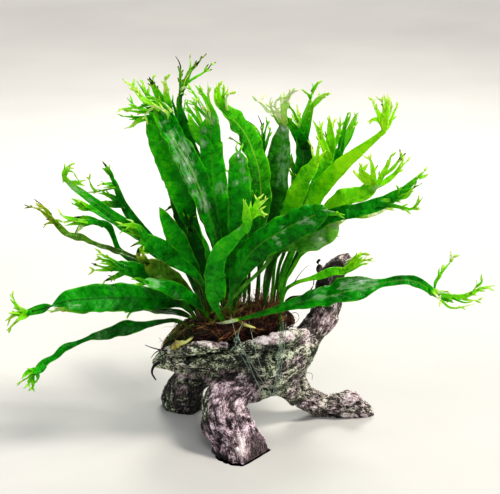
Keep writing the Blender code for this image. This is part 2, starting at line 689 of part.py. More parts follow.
def make_frond(name, spec, ground, collection, material):
    """Stalk, blade and fingers as one sheet, which then gets its thickness."""
    route = [seen(*p) for p in spec["route"]]
    # The stalk starts where the line back from its second point meets the root mat, a gap above it.
    back = (route[0] - route[1]).normalized()
    hit = ground.ray_cast(route[1], back)[0]
    if hit:
        route[0] = hit - back * (CLEARANCE + STALK_WIDTH * 0.75)
    length = sum((b - a).length for a, b in zip(route, route[1:]))
    row_count = min(max(round(length / ROW_SPACING), FEWEST_ROWS), MOST_ROWS)
    places = [Vector(p) for p in smooth_route([tuple(p) for p in route], row_count)]
    headings = tangents(places)
    bm = bmesh.new()
    rows = []
    for i, (place, along) in enumerate(zip(places, headings)):
        share = i / (row_count - 1)
        across, face = frame_at(along, spec["roll"][0] + (spec["roll"][1] - spec["roll"][0]) * share)
        half = blade_width(spec, share) / 2
        if share == 1:
            half = max(half, len(spec["crest"]) * FINGER_ROOT / 2)
        lift = face * half * 2 * FOLD
        rows.append([place - across * half + lift, place, place + across * half + lift])
    fingers = sort_fingers([seen(*p) for p in spec["crest"]], places[-1], headings[-1], across)
    count = max(2, len(fingers))
    left, middle, right = rows[-1]
    tip_row = []
    for k in range(count + 1):
        share = 2 * k / count
        tip_row.append(left.lerp(middle, share) if share <= 1 else middle.lerp(right, share - 1))
    verts = [[bm.verts.new(p) for p in row] for row in rows[:-1]]
    loft(bm, verts, closed=False)
    tip = [bm.verts.new(p) for p in tip_row]
    base = verts[-1]
    if count % 2 == 0:
        half = count // 2
        bm.faces.new((base[0], base[1], *reversed(tip[: half + 1])))
        bm.faces.new((base[1], base[2], *reversed(tip[half:])))
    else:
        half = count // 2
        bm.faces.new((base[0], base[1], *reversed(tip[: half + 1])))
        bm.faces.new((base[1], tip[half + 1], tip[half]))
        bm.faces.new((base[1], base[2], *reversed(tip[half + 1 :])))
    if len(fingers) == 1:
        point = bm.verts.new(fingers[0])
        bm.faces.new((tip[0], tip[1], point))
        bm.faces.new((tip[1], tip[2], point))
    else:
        add_fingers(bm, tip, fingers, headings[-1])
    frond = object_from_bmesh(name, bm, collection, material)
    wall = frond.modifiers.new("thickness", "SOLIDIFY")
    wall.thickness = BLADE_THICKNESS
    wall.offset = 0
    return frond


def sort_fingers(ends, start, along, across):
    """The fingers' tips from the blade's left edge to its right edge."""
    def turn(end):
        way = end - start
        return math.atan2(way.dot(across), way.dot(along))

    return sorted(ends, key=turn)


def add_fingers(bm, tip, ends, along):
    """Tapering ribbons from the edges of the blade's tip, which bend from the blade's heading to ends."""
    paths = []
    for left, right, end in zip(tip, tip[1:], ends):
        start = (left.co + right.co) / 2
        bend = start + along * (end - start).length * 0.4
        paths.append([Vector(p) for p in interpolate_bezier(start, bend, end.lerp(bend, 0.4), end, 4)])
    for k, path in enumerate(paths):
        rows = [[tip[k], tip[k + 1]]]
        for i, share in ((1, 0.4), (3, 1)):
            room = min((path[i] - other[i]).length for other in paths if other is not path)
            half = min((1.9 - 1.2 * share) * MM, room * FINGER_SHARE)
            across = tangents(path)[i].cross(TO_VIEWER).normalized()
            rows.append([bm.verts.new(path[i] - across * half), bm.verts.new(path[i] + across * half)])
        loft(bm, rows, closed=False)


# ---------------------------------------------------------------- the whole
def main():
    clear_scene()
    whole = new_collection("java_fern_on_driftwood")
    cutters = new_collection("cutters", rendered=False)
    bark = make_material("driftwood", BARK_COLOUR, 0.85)
    roots = make_material("roots", ROOT_COLOUR, 0.9)
    stem = make_material("rhizome", RHIZOME_COLOUR, 0.5)
    line = make_material("fishing_line", LINE_COLOUR, 0.15)
    leaf = {tone: make_material("frond_" + tone, colour, 0.35) for tone, colour in TONES.items()}

    floor = make_floor_cutter(cutters)
    wood = {name: rough_limb(name, shape, whole, bark) for name, shape in LIMBS.items()}
    clearance = {name: swollen_copy(obj, cutters) for name, obj in wood.items()}
    mat = rough_limb("root_mat", ROOT_MAT, whole, roots)
    rhizomes = {name: make_rhizome(name, spec, whole, stem) for name, spec in RHIZOMES.items()}

    for name in ("driftwood_front_leg", "driftwood_right_leg", "driftwood_left_leg"):
        cut(wood[name], floor)
        cut(wood[name], clearance["driftwood_log"])
    cut(wood["driftwood_right_leg"], clearance["driftwood_front_leg"])
    cut(wood["driftwood_left_leg"], clearance["driftwood_front_leg"])
    cut(wood["driftwood_branch"], clearance["driftwood_log"])
    cut(mat, clearance["driftwood_log"])
    cut(mat, clearance["driftwood_branch"])
    for rhizome in rhizomes.values():
        cut(mat, swollen_copy(rhizome, cutters))

    bpy.context.view_layer.update()
    depsgraph = bpy.context.evaluated_depsgraph_get()
    for name, spec in TIE_LINES.items():
        wrapped = [wood["driftwood_log"], wood["driftwood_front_leg"], mat, rhizomes["rhizome_main"]]
        make_tie_line(name, spec, wrapped, whole, line, depsgraph)
    ground, _ = evaluated_tree([mat, *rhizomes.values(), wood["driftwood_log"]], depsgraph)
    for key, spec in FRONDS.items():
        make_frond("frond_" + key, spec, ground, whole, leaf[spec["tone"]])


main()
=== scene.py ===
# Java fern tied to a legged piece of driftwood: the finished looks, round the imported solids.
# Lengths are metres, and a number called ...Mm is in millimetres. px and py count the photograph's pixels,
# 500 x 494, from its top left corner.
import math
from functools import partial

import bmesh
import bpy
import numpy as np
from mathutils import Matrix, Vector
from mathutils.bvhtree import BVHTree
from mathutils.geometry import convex_hull_2d


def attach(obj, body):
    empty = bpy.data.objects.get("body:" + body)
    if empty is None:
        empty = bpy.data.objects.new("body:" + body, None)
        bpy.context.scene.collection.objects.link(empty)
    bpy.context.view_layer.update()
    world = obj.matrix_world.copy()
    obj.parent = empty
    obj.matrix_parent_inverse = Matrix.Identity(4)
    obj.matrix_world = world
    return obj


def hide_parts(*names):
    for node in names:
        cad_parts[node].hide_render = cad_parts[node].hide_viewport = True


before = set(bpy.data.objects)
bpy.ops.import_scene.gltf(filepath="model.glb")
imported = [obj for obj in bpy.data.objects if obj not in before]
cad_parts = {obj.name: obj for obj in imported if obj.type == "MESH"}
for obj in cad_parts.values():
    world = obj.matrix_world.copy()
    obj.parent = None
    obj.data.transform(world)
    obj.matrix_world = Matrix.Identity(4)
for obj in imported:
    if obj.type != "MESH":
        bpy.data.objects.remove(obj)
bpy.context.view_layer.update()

mm = 0.001
scene = bpy.context.scene

# how the photograph was taken: the lens's middle ray meets the target, where one pixel is half a millimetre
view = {
    "imageSize": (500, 494),
    "middle": (250, 247),
    "pixelSize": 0.5 * mm,
    "elevation": math.radians(18),
    "distance": 850 * mm,
    "target": np.array([0, -15 * mm, 97 * mm]),
    "sensorMm": 36,
}
toViewer = np.array([0, -math.cos(view["elevation"]), math.sin(view["elevation"])])
viewUp = np.array([0, math.sin(view["elevation"]), math.cos(view["elevation"])])
eye = view["target"] + toViewer * view["distance"]


# small tools for shapes
def rows(text):
    # "1,2 3,4" as the rows (1, 2) and (3, 4)
    return np.array([[float(number) for number in row.split(",")] for row in text.split()])


def unit(vectors):
    # each vector divided by its own length
    return vectors / np.maximum(np.linalg.norm(vectors, axis=-1, keepdims=True), 1e-12)


def smoothstep(low, high, value):
    # 0 below low, 1 above high, and the cubic 3t^2 - 2t^3 between them
    t = np.clip((value - low) / (high - low), 0, 1)
    return t * t * (3 - 2 * t)


def seenPoint(places):
    # px, py and depth in mm to a place: the eye's ray through the pixel, met where Y is depth past the target
    places = np.asarray(places, float)
    right = (places[..., :1] - view["middle"][0]) * view["pixelSize"] * np.array([1.0, 0, 0])
    up = (view["middle"][1] - places[..., 1:2]) * view["pixelSize"] * viewUp
    ray = right + up - toViewer * view["distance"]
    reach = (view["target"][1] + places[..., 2:3] * mm - eye[1]) / ray[..., 1:2]
    return eye + ray * reach


def travelled(path):
    # how far along the path each of its points lies: the running sum of its steps
    return np.append(0, np.cumsum(np.linalg.norm(np.diff(path, axis=0), axis=1)))


def readTable(goal, knots, table):
    # each column of the table read at the goal, by straight lines between the knots of its rows
    return np.stack([np.interp(goal, knots, column) for column in table.T], axis=-1)


def smoothPath(points, count):
    # a Catmull-Rom curve through the points, read at even distances; gives its places and its length
    ends = np.vstack([points[:1], points, points[-1:]])
    a, b, c, d = (ends[i : len(ends) - 3 + i, None] for i in range(4))
    t = np.linspace(0, 1, 24, endpoint=False)[None, :, None]
    fine = 0.5 * (2 * b + (c - a) * t + (2 * a - 5 * b + 4 * c - d) * t**2 + (3 * b - a - 3 * c + d) * t**3)
    fine = np.vstack([fine.reshape(-1, points.shape[1]), points[-1:]])
    reached = travelled(fine[:, :3])
    return readTable(np.linspace(0, reached[-1], count), reached, fine), reached[-1]


def headings(path):
    # unit directions of travel: central differences of the points
    return unit(np.gradient(path, axis=0))


def nearestPlaces(points, path):
    # for each point the number of the path's place that is nearest to it, and how far away that is
    gap, nearest = np.full(len(points), np.inf), np.zeros(len(points), int)
    for i, place in enumerate(path):
        distance = np.linalg.norm(points - place, axis=1)
        closer = distance < gap
        gap[closer], nearest[closer] = distance[closer], i
    return nearest, gap


def cloudNoise(points, seed):
    # gradient noise from about -1 to 1: every lattice corner has a random slope, and the eight slopes round
    # a point are blended by the quintic 6t^5 - 15t^4 + 10t^3 along each axis
    rng = np.random.default_rng(seed)
    order = rng.permutation(256)
    slopes = unit(rng.normal(size=(256, 3)))
    flat = np.asarray(points, float).reshape(-1, 3)
    cell = np.floor(flat).astype(int)
    inside = flat - cell
    fade = inside**3 * (inside * (inside * 6 - 15) + 10)
    total = np.zeros(len(flat))
    for corner in np.ndindex(2, 2, 2):
        spot = cell + corner
        hashed = order[(order[(order[spot[:, 0] % 256] + spot[:, 1]) % 256] + spot[:, 2]) % 256]
        weight = np.prod(np.where(corner, fade, 1 - fade), axis=1)
        total += weight * ((inside - corner) * slopes[hashed]).sum(axis=1)
    return 1.5 * total.reshape(np.shape(points)[:-1])


def wave(along, wavelength, rng):
    # two sines of unlike length added, each with a random start: an irregular swing from about -1 to 1
    start = rng.uniform(0, math.tau, 2)
    first = np.sin(math.tau * along / wavelength + start[0])
    return 0.65 * first + 0.35 * np.sin(math.tau * along / (0.57 * wavelength) + start[1])


def turned(across, ahead, radians):
    # across directions turned about the direction of travel, and the face directions that go with them
    angle = radians[:, None]
    across = across * np.cos(angle) + np.cross(ahead, across) * np.sin(angle)
    return across, np.cross(across, ahead)


# small tools for meshes
def newSheets():
    # grids that will become one mesh: points and point attributes, and quads by index
    return {"points": [], "faces": [], "place": [], "age": [], "count": 0}


def addGrid(sheets, points, place=None, age=None, closed=False, poles=False):
    # a grid of points becomes quads between its rows; closed joins the last column to the first, and poles
    # close both ends with a fan round the mean of the end row
    height, columns = points.shape[:2]
    index = np.arange(height * columns).reshape(height, columns) + sheets["count"]
    if closed:
        index = np.hstack([index, index[:, :1]])
    quads = np.stack([index[:-1, :-1], index[:-1, 1:], index[1:, 1:], index[1:, :-1]], axis=-1)
    sheets["faces"] += quads.reshape(-1, 4).tolist()
    flat = points.reshape(-1, 3)
    place, age = (np.zeros_like(flat) if given is None else given.reshape(-1, 3) for given in (place, age))
    if poles:
        top = sheets["count"] + len(flat)
        first, last = index[0], index[-1]
        for start, end, pole in ((first[1:], first[:-1], top), (last[:-1], last[1:], top + 1)):
            sheets["faces"] += np.stack([start, end, np.full(len(start), pole)], axis=1).tolist()
        flat = np.vstack([flat, points[0].mean(axis=0), points[-1].mean(axis=0)])
        place, age = (np.vstack([given, given[:1], given[-1:]]) for given in (place, age))
    for key, values in (("points", flat), ("place", place), ("age", age)):
        sheets[key].append(values)
    sheets["count"] += len(flat)


def pointLayer(mesh, name, values):
    # a vector for every point of the mesh, which materials read by its name
    layer = mesh.attributes.new(name, "FLOAT_VECTOR", "POINT")
    layer.data.foreach_set("vector", np.asarray(values).astype(np.float32).ravel())


def readVectors(items, name):
    # one vector of each item, as rows
    values = np.zeros(len(items) * 3)
    items.foreach_get(name, values)
    return values.reshape(-1, 3)


def meshOf(name, sheets, weld=False):
    # the gathered grids as one mesh, with the point attributes piecePlace and pieceAge
    mesh = bpy.data.meshes.new(name)
    mesh.from_pydata(np.vstack(sheets["points"]).tolist(), [], sheets["faces"])
    pointLayer(mesh, "piecePlace", np.vstack(sheets["place"]))
    pointLayer(mesh, "pieceAge", np.vstack(sheets["age"]))
    if weld:
        bm = bmesh.new()
        bm.from_mesh(mesh)
        bmesh.ops.remove_doubles(bm, verts=bm.verts, dist=1e-6)
        bm.to_mesh(mesh)
        bm.free()
    return mesh


def show(name, data):
    # an object of its own for a mesh, a lamp or a lens
    thing = bpy.data.objects.new(name, data)
    scene.collection.objects.link(thing)
    return thing


def modified(mesh, *modifiers):
    # what those modifiers make of the mesh; each is a kind with its settings
    holder = show(mesh.name, mesh)
    for kind, settings in modifiers:
        modifier = holder.modifiers.new(kind, kind)
        for key, value in settings.items():
            setattr(modifier, key, value)
    result = bpy.data.meshes.new_from_object(holder.evaluated_get(bpy.context.evaluated_depsgraph_get()))
    bpy.data.objects.remove(holder)
    return result


def addPiece(name, mesh, material, nodes):
    # shows the mesh as a piece that stands for those solids and rests with them
    piece = show(name, mesh)
    mesh.materials.clear()
    mesh.materials.append(material)
    mesh.shade_smooth()
    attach(piece, "root")
    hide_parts(*nodes)
    return piece


def tubeRings(path, radii, sides):
    # rings round a path: centre + radius * (cos a * side + sin a * outward), outward being to the viewer
    ahead = headings(path)
    side = unit(np.cross(ahead, toViewer))
    outward = np.cross(side, ahead)
    a = np.linspace(0, math.tau, sides, endpoint=False)[None, :, None]
    radii = np.broadcast_to(radii, len(path))[:, None, None]
    return path[:, None] + radii * (np.cos(a) * side[:, None] + np.sin(a) * outward[:, None])


# small tools for materials
def linearColour(hexText):
    # an sRGB hex colour as the linear values that the shader takes
    srgb = np.array([int(hexText[i : i + 2], 16) / 255 for i in (1, 3, 5)])
    return (*np.where(srgb <= 0.04045, srgb / 12.92, ((srgb + 0.055) / 1.055) ** 2.4).tolist(), 1.0)


def plug(socket, value):
    # gives a socket another node's output, a hex colour or a plain value
    if isinstance(value, bpy.types.NodeSocket):
        socket.id_data.links.new(value, socket)
    else:
        socket.default_value = linearColour(value) if isinstance(value, str) else value


nodeModes = {  # what the second word of a node's kind sets
    "Math": "operation",
    "Mix": "data_type",
    "MapRange": "interpolation_type",
    "TexVoronoi": "feature",
    "Attribute": "attribute_name",
}


def addNode(tree, kind, *values, out=0, stops=(), **named):
    # one node, by its kind and mode: its open sockets take the values in order, named sockets take theirs,
    # and a ramp takes its stops; gives the output of that number or name, or with a slice several outputs
    kind, _, mode = kind.partition(" ")
    node = tree.nodes.new("ShaderNode" + kind)
    if mode:
        setattr(node, nodeModes[kind], mode)
    for socket, value in zip([socket for socket in node.inputs if socket.enabled], values):
        plug(socket, value)
    for name, value in named.items():
        plug(node.inputs[name], value)
    for number, (position, colour) in enumerate(stops):
        elements = node.color_ramp.elements
        element = elements[number] if number < 2 else elements.new(position)
        element.position = position
        element.color = linearColour(colour)
    if isinstance(out, str):
        return node.outputs[out]
    return [socket for socket in node.outputs if socket.enabled][out]


def newMaterial(name):
    # a material with its Principled shader, and addNode for its own tree
    material = bpy.data.materials.new(name)
    material.use_nodes = True
    return material, partial(addNode, material.node_tree)


def dressed(material, sockets):
    # sets and links the sockets of the material's shader
    for name, value in sockets.items():
        plug(material.node_tree.nodes["Principled BSDF"].inputs[name], value)
    return material


# the driftwood: a station is px,py,depth,half width across the view,half depth along it, the last three mm
# lit is painted light and shade: a tone added to the whole limb, lowest on the left leg and branch, which lie
# in shade
limbs = {
    "driftwood_log": dict(seed=1, lumps=0.2, algae=0.95, lit=0.0,
        stations=("154,363,-6,1.6,3 166,359,-5,5,10 185,358,-3,6.6,17 208,357,-1,7.8,20 235,360,0,10.4,21 "
                  "258,361,1,14,20 276,359,2,15.2,18 291,352,4,12.6,16 304,344,6,8.2,12 314,337,8,4.5,8")),
    "driftwood_front_leg": dict(seed=2, lumps=0.22, lit=0.03,
        stations=("252,368,-4,6.5,7 245,380,-10,8.6,9 236,389,-15,9.4,10 225,400,-21,10,10 "
                  "226,418,-27,11.6,11 235,436,-31,12.6,11.5 241,453,-34,13.2,12.5 243,472,-35,14,13")),
    "driftwood_right_leg": dict(seed=3, lumps=0.22, algae=0.4, lit=-0.03,
        stations=("294,366,4,6,7 293,381,7,6.2,7 300,394,9,6.4,6.5 317,403,12,5.6,6.5 336,407,14,6.4,7.5 "
                  "350,406,15,7.2,9 361,410,16,5.2,8 370,415,16,1.8,3.5")),
    "driftwood_left_leg": dict(seed=4, lumps=0.22, algae=0.8, lit=-0.14,
        stations=("226,366,6,5.5,7 212,372,13,5.8,7 196,377,19,7.8,9 185,387,23,9.4,10.5 "
                  "182.5,401,25,9.8,10.5 186,423,26,9.6,10.5")),
    "driftwood_branch": dict(seed=5, lumps=0.18, algae=0.45, lit=-0.12,
        stations=("300,345,6,6.5,7 313,331,10,6.6,8 324,314,13,7.6,8 328,295,16,6.7,7 331,278,18,5.6,6.4 "
                  "341,265,20,4.9,5.6 351,259,21,3.6,4.4")),
}
burls = {  # knobs, ledges and stubs that stand out of the limbs, in the same stations
    "twig stub": dict(seed=11, lumps=0,
        stations="327,281,14,2.6,2.6 321,272,12,1.5,1.5 318.5,265,11,0.8,0.8 319,259.5,11,0.65,0.65"),
    "foot knob": dict(seed=12, stations="344,405,8,3.5,3.5 351,398.5,9,3.6,3.6 357,396,11,2.5,2.4"),
    "arch between the legs": dict(seed=15,
        stations="247,396,-12,4.4,5 260,391,-8,4.2,5 274,387,-4,4,5 287,391,0,4.2,5 297,398,5,4.2,5"),
    "lit ledge": dict(seed=13,
        stations=("236,347,-18,2.2,2.2 256,345,-19,3,3 276,340,-18,3.4,3.2 294,335.5,-11,3.2,3.2 "
                  "306,333,-2,2.2,2.4")),
    "left shoulder": dict(seed=14,
        stations="166,352,-13,2,3 185,350,-20,2.8,3.4 206,347,-22,2.8,3.2 228,346,-21,2.2,2.6"),
}
sawnFaces = {  # where the wood was cut flat: a point inside, and how far out and which way the face lies
    "front foot": dict(inside=(240, 452, -34), outMm=9.0, normal=(0.80, -0.58, 0.15), reachMm=19, tone=0.25,
                       bleachedAndLit=0.0),
    "foot flake": dict(inside=(346, 410, 14), outMm=5.8, normal=(0.10, -0.86, -0.50), reachMm=14, tone=0.7,
                       bleachedAndLit=0.6),
    "branch end": dict(inside=(347, 259, 20.5), outMm=3.6, normal=(0.80, -0.35, 0.48), reachMm=7, tone=0.66,
                       bleachedAndLit=0.7),
}
stainsAndShade = {  # scraped patches, some of them painted highlight, painted shade and algae: kind, middle, half sizes in mm in X, Y and Z, and strength
    # the ledge and its end: bleached wood and painted highlight on the ledge's lit top
    "ledge": ("bleachedAndLit", (280, 336, -20), (21, 9, 4.6), 1.0),
    "ledge end": ("bleachedAndLit", (307, 330, -4), (7, 7, 5), 0.8),
    "front foot": ("bleachedAndLit", (241, 449, -46), (6, 7, 7), 1.0),
    "left ledge": ("bleachedAndLit", (214, 343, -24), (13, 8, 2.6), 0.6),
    "knee": ("bleachedAndLit", (236, 408, -33), (7, 6, 6), 0.35),
    "branch root": ("bleachedAndLit", (326, 322, 5), (9, 8, 5.5), 0.6),
    # painted shade on the inner side of the branch, which faces the plant, and on the upper branch
    "inner side of the branch": ("dark", (311, 313, 4), (5, 9, 8), 1.2),
    "upper branch": ("dark", (331, 274, 10), (12, 9, 13), 1.5),
    "tip of the branch": ("bleachedAndLit", (347, 257, 20), (4.5, 6, 4), 0.5),
    "right foot": ("bleachedAndLit", (352, 398, 4), (9, 8, 6), 0.6),
    # pale lilac knobs on the left leg: bleached wood, partly painted highlight on its top
    "left leg": ("bleachedAndLit", (180, 372, 16), (11, 11, 3.5), 1.0),
    "left leg middle": ("bleachedAndLit", (182, 391, 12), (4, 7, 4), 0.5),
    "left leg neck": ("bleachedAndLit", (212, 377, 9), (8, 8, 4), 0.5),
    # painted shade: under the log, its ledge and the front foot, in the log's hollow middle, where the branch
    # meets the log, between the legs and on the left leg
    "top of the leg": ("dark", (256, 374, -14), (8, 9, 9), 0.6),
    "under the log": ("dark", (228, 370, -12), (26, 16, 3.5), 0.9),
    "below the ledge's lip": ("dark", (272, 347, -19), (13, 8, 2.4), 1.6),
    "middle of the log": ("dark", (243, 363, -20), (13, 9, 2.8), 1.4),
    "right shoulder of the log": ("dark", (313, 351, 2), (4, 9, 6), 1.4),
    "under the front foot": ("dark", (217, 459, -42), (6, 12, 3.0), 2.4),
    "under the toe": ("dark", (231, 464, -44), (7, 12, 1.6), 1.4),
    "left side of the front leg": ("dark", (203, 405, -26), (3.5, 14, 13), 1.3),
    "shaded side of the left leg": ("dark", (196, 394, 16), (6, 14, 12), 1.1),
    "foot of the left leg": ("dark", (180, 409, 18), (13, 12, 4.5), 0.9),
    "shaded side of the leg": ("algae", (205, 408, -22), (4.5, 12, 13), 0.9),
    "front of the log": ("algae", (222, 356, -20), (36, 14, 8), 0.9),
    "below the ledge": ("algae", (285, 352, -18), (18, 10, 7), 1.0),
}

wood = {
    "sides": 40,  # rings along a limb and corners round it, before the remesh
    "voxel": 0.57 * mm,
    "smoothing": dict(factor=0.6, iterations=12),  # rounds the forks
    "samples": 70,  # places along a limb that a point may be nearest to
    "blend": 6,  # how sharply one limb's relief gives way to the next one's
    "stretch": 2.2,  # how much longer the wrinkles are along a limb than across it
    "knotMm": 1.1,  # height of the broad lumps
    "knotSizeMm": 6,
    "ridgeMm": 1.1,  # depth of the wrinkles between ridges
    "ridgeSizeMm": 2.5,
    "bendMm": 1.6,  # how far the wrinkles stray from the limb's direction
    "bendSizeMm": 4,
    "grainMm": 0.42,
    "grainSizeMm": 0.8,
    "creaseSizeMm": 1.25,
    "pitMm": 0.9,
    "pitSizeMm": 2.6,
    "cloudMm": 9,  # size of the slow changes in girth and colour
    "mottleMm": 3.4,
    "mottle": 0.34,
    "ground": 0.3 * mm,  # what is lower than this lies flat on the ground
}


def limbFrame(spec, count):
    # places, half widths and half depths at even distances along a limb, with its across and outward
    # directions, which follow the running mean of nine headings
    stations = rows(spec["stations"])
    dense, _ = smoothPath(np.hstack([seenPoint(stations[:, :3]), stations[:, 3:] * mm]), count)
    ahead = headings(dense[:, :3])
    padded = np.pad(ahead, ((4, 4), (0, 0)), mode="edge")
    ahead = unit(np.stack([np.convolve(column, np.ones(9) / 9, mode="valid") for column in padded.T], 1))
    across = unit(np.cross(ahead, toViewer))
    return dense[:, :3], dense[:, 3], dense[:, 4], across, np.cross(across, ahead)


def limbGrid(spec):
    # centre + across * cos a * half width + outward * sin a * half depth, swollen by slow noise
    centres, wide, deep, across, outward = limbFrame(spec, wood["sides"])
    a = np.linspace(0, math.tau, wood["sides"], endpoint=False)[None, :, None]
    wide, deep = wide[:, None, None], deep[:, None, None]
    way = across[:, None] * np.cos(a) * wide + outward[:, None] * np.sin(a) * deep
    lump = cloudNoise((centres[:, None] + way) / (wood["cloudMm"] * mm), spec["seed"])
    return centres[:, None] + way * (1 + spec.get("lumps", 0.15) * lump[..., None])


def makeBark():
    # weathered driftwood, scraped and wet: pinkish grey on its ridges and near black in its pits, as painted
    # light and shade, green where algae sits, and split along the grain. Scales are per metre, so 1000 is a
    # pattern of 1 mm
    material, add = newMaterial("weatheredDriftwood")
    coords = add("TexCoord", out="Object")
    tone, algae, bleachedAndLit = add("SeparateXYZ", add("Attribute woodLook", out="Vector"), out=slice(3))
    stain = add("TexNoise", coords, Scale=120, Detail=5, Roughness=0.65)  # blotches of 8 mm
    grit = add("TexNoise", coords, Scale=900, Detail=4, Roughness=0.7)  # worn fibres of 1.1 mm
    crumb = add("TexVoronoi F1", coords, Scale=1000, Randomness=1.0)  # crumbs of algae, 1 mm
    crack = add("TexNoise", coords, Scale=420, Detail=3, Distortion=1.2)  # drying cracks, 2.4 mm apart
    crack = add("Math SUBTRACT", 0.045, add("Math ABSOLUTE", add("Math SUBTRACT", crack, 0.5)))
    grain = add("Mapping", add("Attribute woodGrain", out="Vector"), Scale=(0.42, 1, 1))
    strand = add("TexNoise", grain, Scale=0.75, Detail=3, Roughness=0.6, Distortion=1.4)  # 1.3 mm
    strand = add("Math MINIMUM", add("Math ABSOLUTE", add("Math SUBTRACT", strand, 0.5)), 0.17)
    parts = [  # what is added to the carved height, each part and its share
        (add("Math SUBTRACT", grit, 0.5), 1.2),
        (add("Math SUBTRACT", 0.085, strand), 3.4),
        (add("Math SUBTRACT", 0.42, crumb), add("Math MULTIPLY", add("Math ADD", 0.3, algae), 0.36)),
        (add("Math SUBTRACT", stain, 0.5), 0.6),
        (add("Math MAXIMUM", crack, 0), -7.0),
    ]
    height = tone
    for part, share in parts:
        height = add("Math ADD", height, add("Math MULTIPLY", part, share))
    ramps = [  # bare, under algae and bleached (partly painted highlight), each from its pits in painted shade to its ridges in painted light
        ((0.14, "#0c0808"), (0.33, "#32262a"), (0.50, "#6e5a60"), (0.68, "#ab929e"), (0.92, "#efdde6")),
        ((0.16, "#020401"), (0.34, "#172010"), (0.48, "#4c5a3b"), (0.62, "#94a07c"), (0.84, "#e2eacd")),
        ((0.10, "#35272b"), (0.32, "#8a7074"), (0.50, "#c0a7ab"), (0.68, "#e6d4d6"), (0.88, "#fbf3f2")),
    ]
    bare, green, pale = (add("ValToRGB", height, stops=stops) for stops in ramps)
    return dressed(material, {
        "Base Color": add("Mix RGBA", bleachedAndLit, add("Mix RGBA", algae, bare, green), pale),
        "Roughness": add("Math ADD", 0.55, add("Math MULTIPLY", grit, 0.3)),
        "Normal": add("Bump", Height=height, Strength=0.8, Distance=0.3 * mm),
        "IOR": 1.5,
        "Coat Weight": 0.12,
        "Coat Roughness": 0.3,
    })


def carve(points, spec):
    # noise in one limb's own directions: broad knots, ridges and creases as 1 - |noise|, pits where a noise
    # is high, and fine grain; gives the rise, how light it is, which is painted light on ridges and knots and
    # painted shade in pits, the distance from the limb and the place on it
    centres, wide, deep, across, outward = limbFrame(spec, wood["samples"])
    nearest, gap = nearestPlaces(points, centres)
    offset = points - centres[nearest]
    grain = np.stack([travelled(centres)[nearest] / wood["stretch"], (offset * across[nearest]).sum(1),
                      (offset * outward[nearest]).sum(1)], axis=1)
    distance = gap / np.sqrt(wide * deep)[nearest]  # in the limb's own radii

    seed = spec["seed"] * 10
    knots = cloudNoise(grain / (wood["knotSizeMm"] * mm), seed)
    bend = cloudNoise(grain / (wood["bendSizeMm"] * mm), seed + 1)[:, None] * wood["bendMm"] * mm
    ridges = 1 - 2.2 * np.abs(cloudNoise((grain + bend) / (wood["ridgeSizeMm"] * mm), seed + 2))
    creases = 1 - 2.0 * np.abs(cloudNoise((grain - bend) / (wood["creaseSizeMm"] * mm), seed + 3))
    pits = smoothstep(0.10, 0.42, cloudNoise((grain + bend) / (wood["pitSizeMm"] * mm), seed + 4))
    fine = cloudNoise(grain / (wood["grainSizeMm"] * mm), seed + 5)
    rise = wood["knotMm"] * knots + wood["ridgeMm"] * 0.5 * (ridges - 0.4)
    rise = rise + wood["grainMm"] * (creases + fine) - wood["pitMm"] * pits
    # lighter on ridges, creases and knots and darker in pits: painted light and shade on the relief
    tone = 0.46 + 0.20 * (ridges - 0.4) + 0.20 * (creases - 0.3) - 0.26 * pits + 0.12 * knots
    return rise * mm, tone, distance, grain / mm


def shave(points, spot, normal, reach):
    # flattens what stands past a plane near a spot, and says how much of each point was flattened
    height = (points - spot) @ normal
    near = np.linalg.norm(points - spot, axis=1) < reach
    cut = np.where(near & (height > 0), height, 0)
    return points - normal * cut[:, None], smoothstep(0, 0.4 * mm, cut)


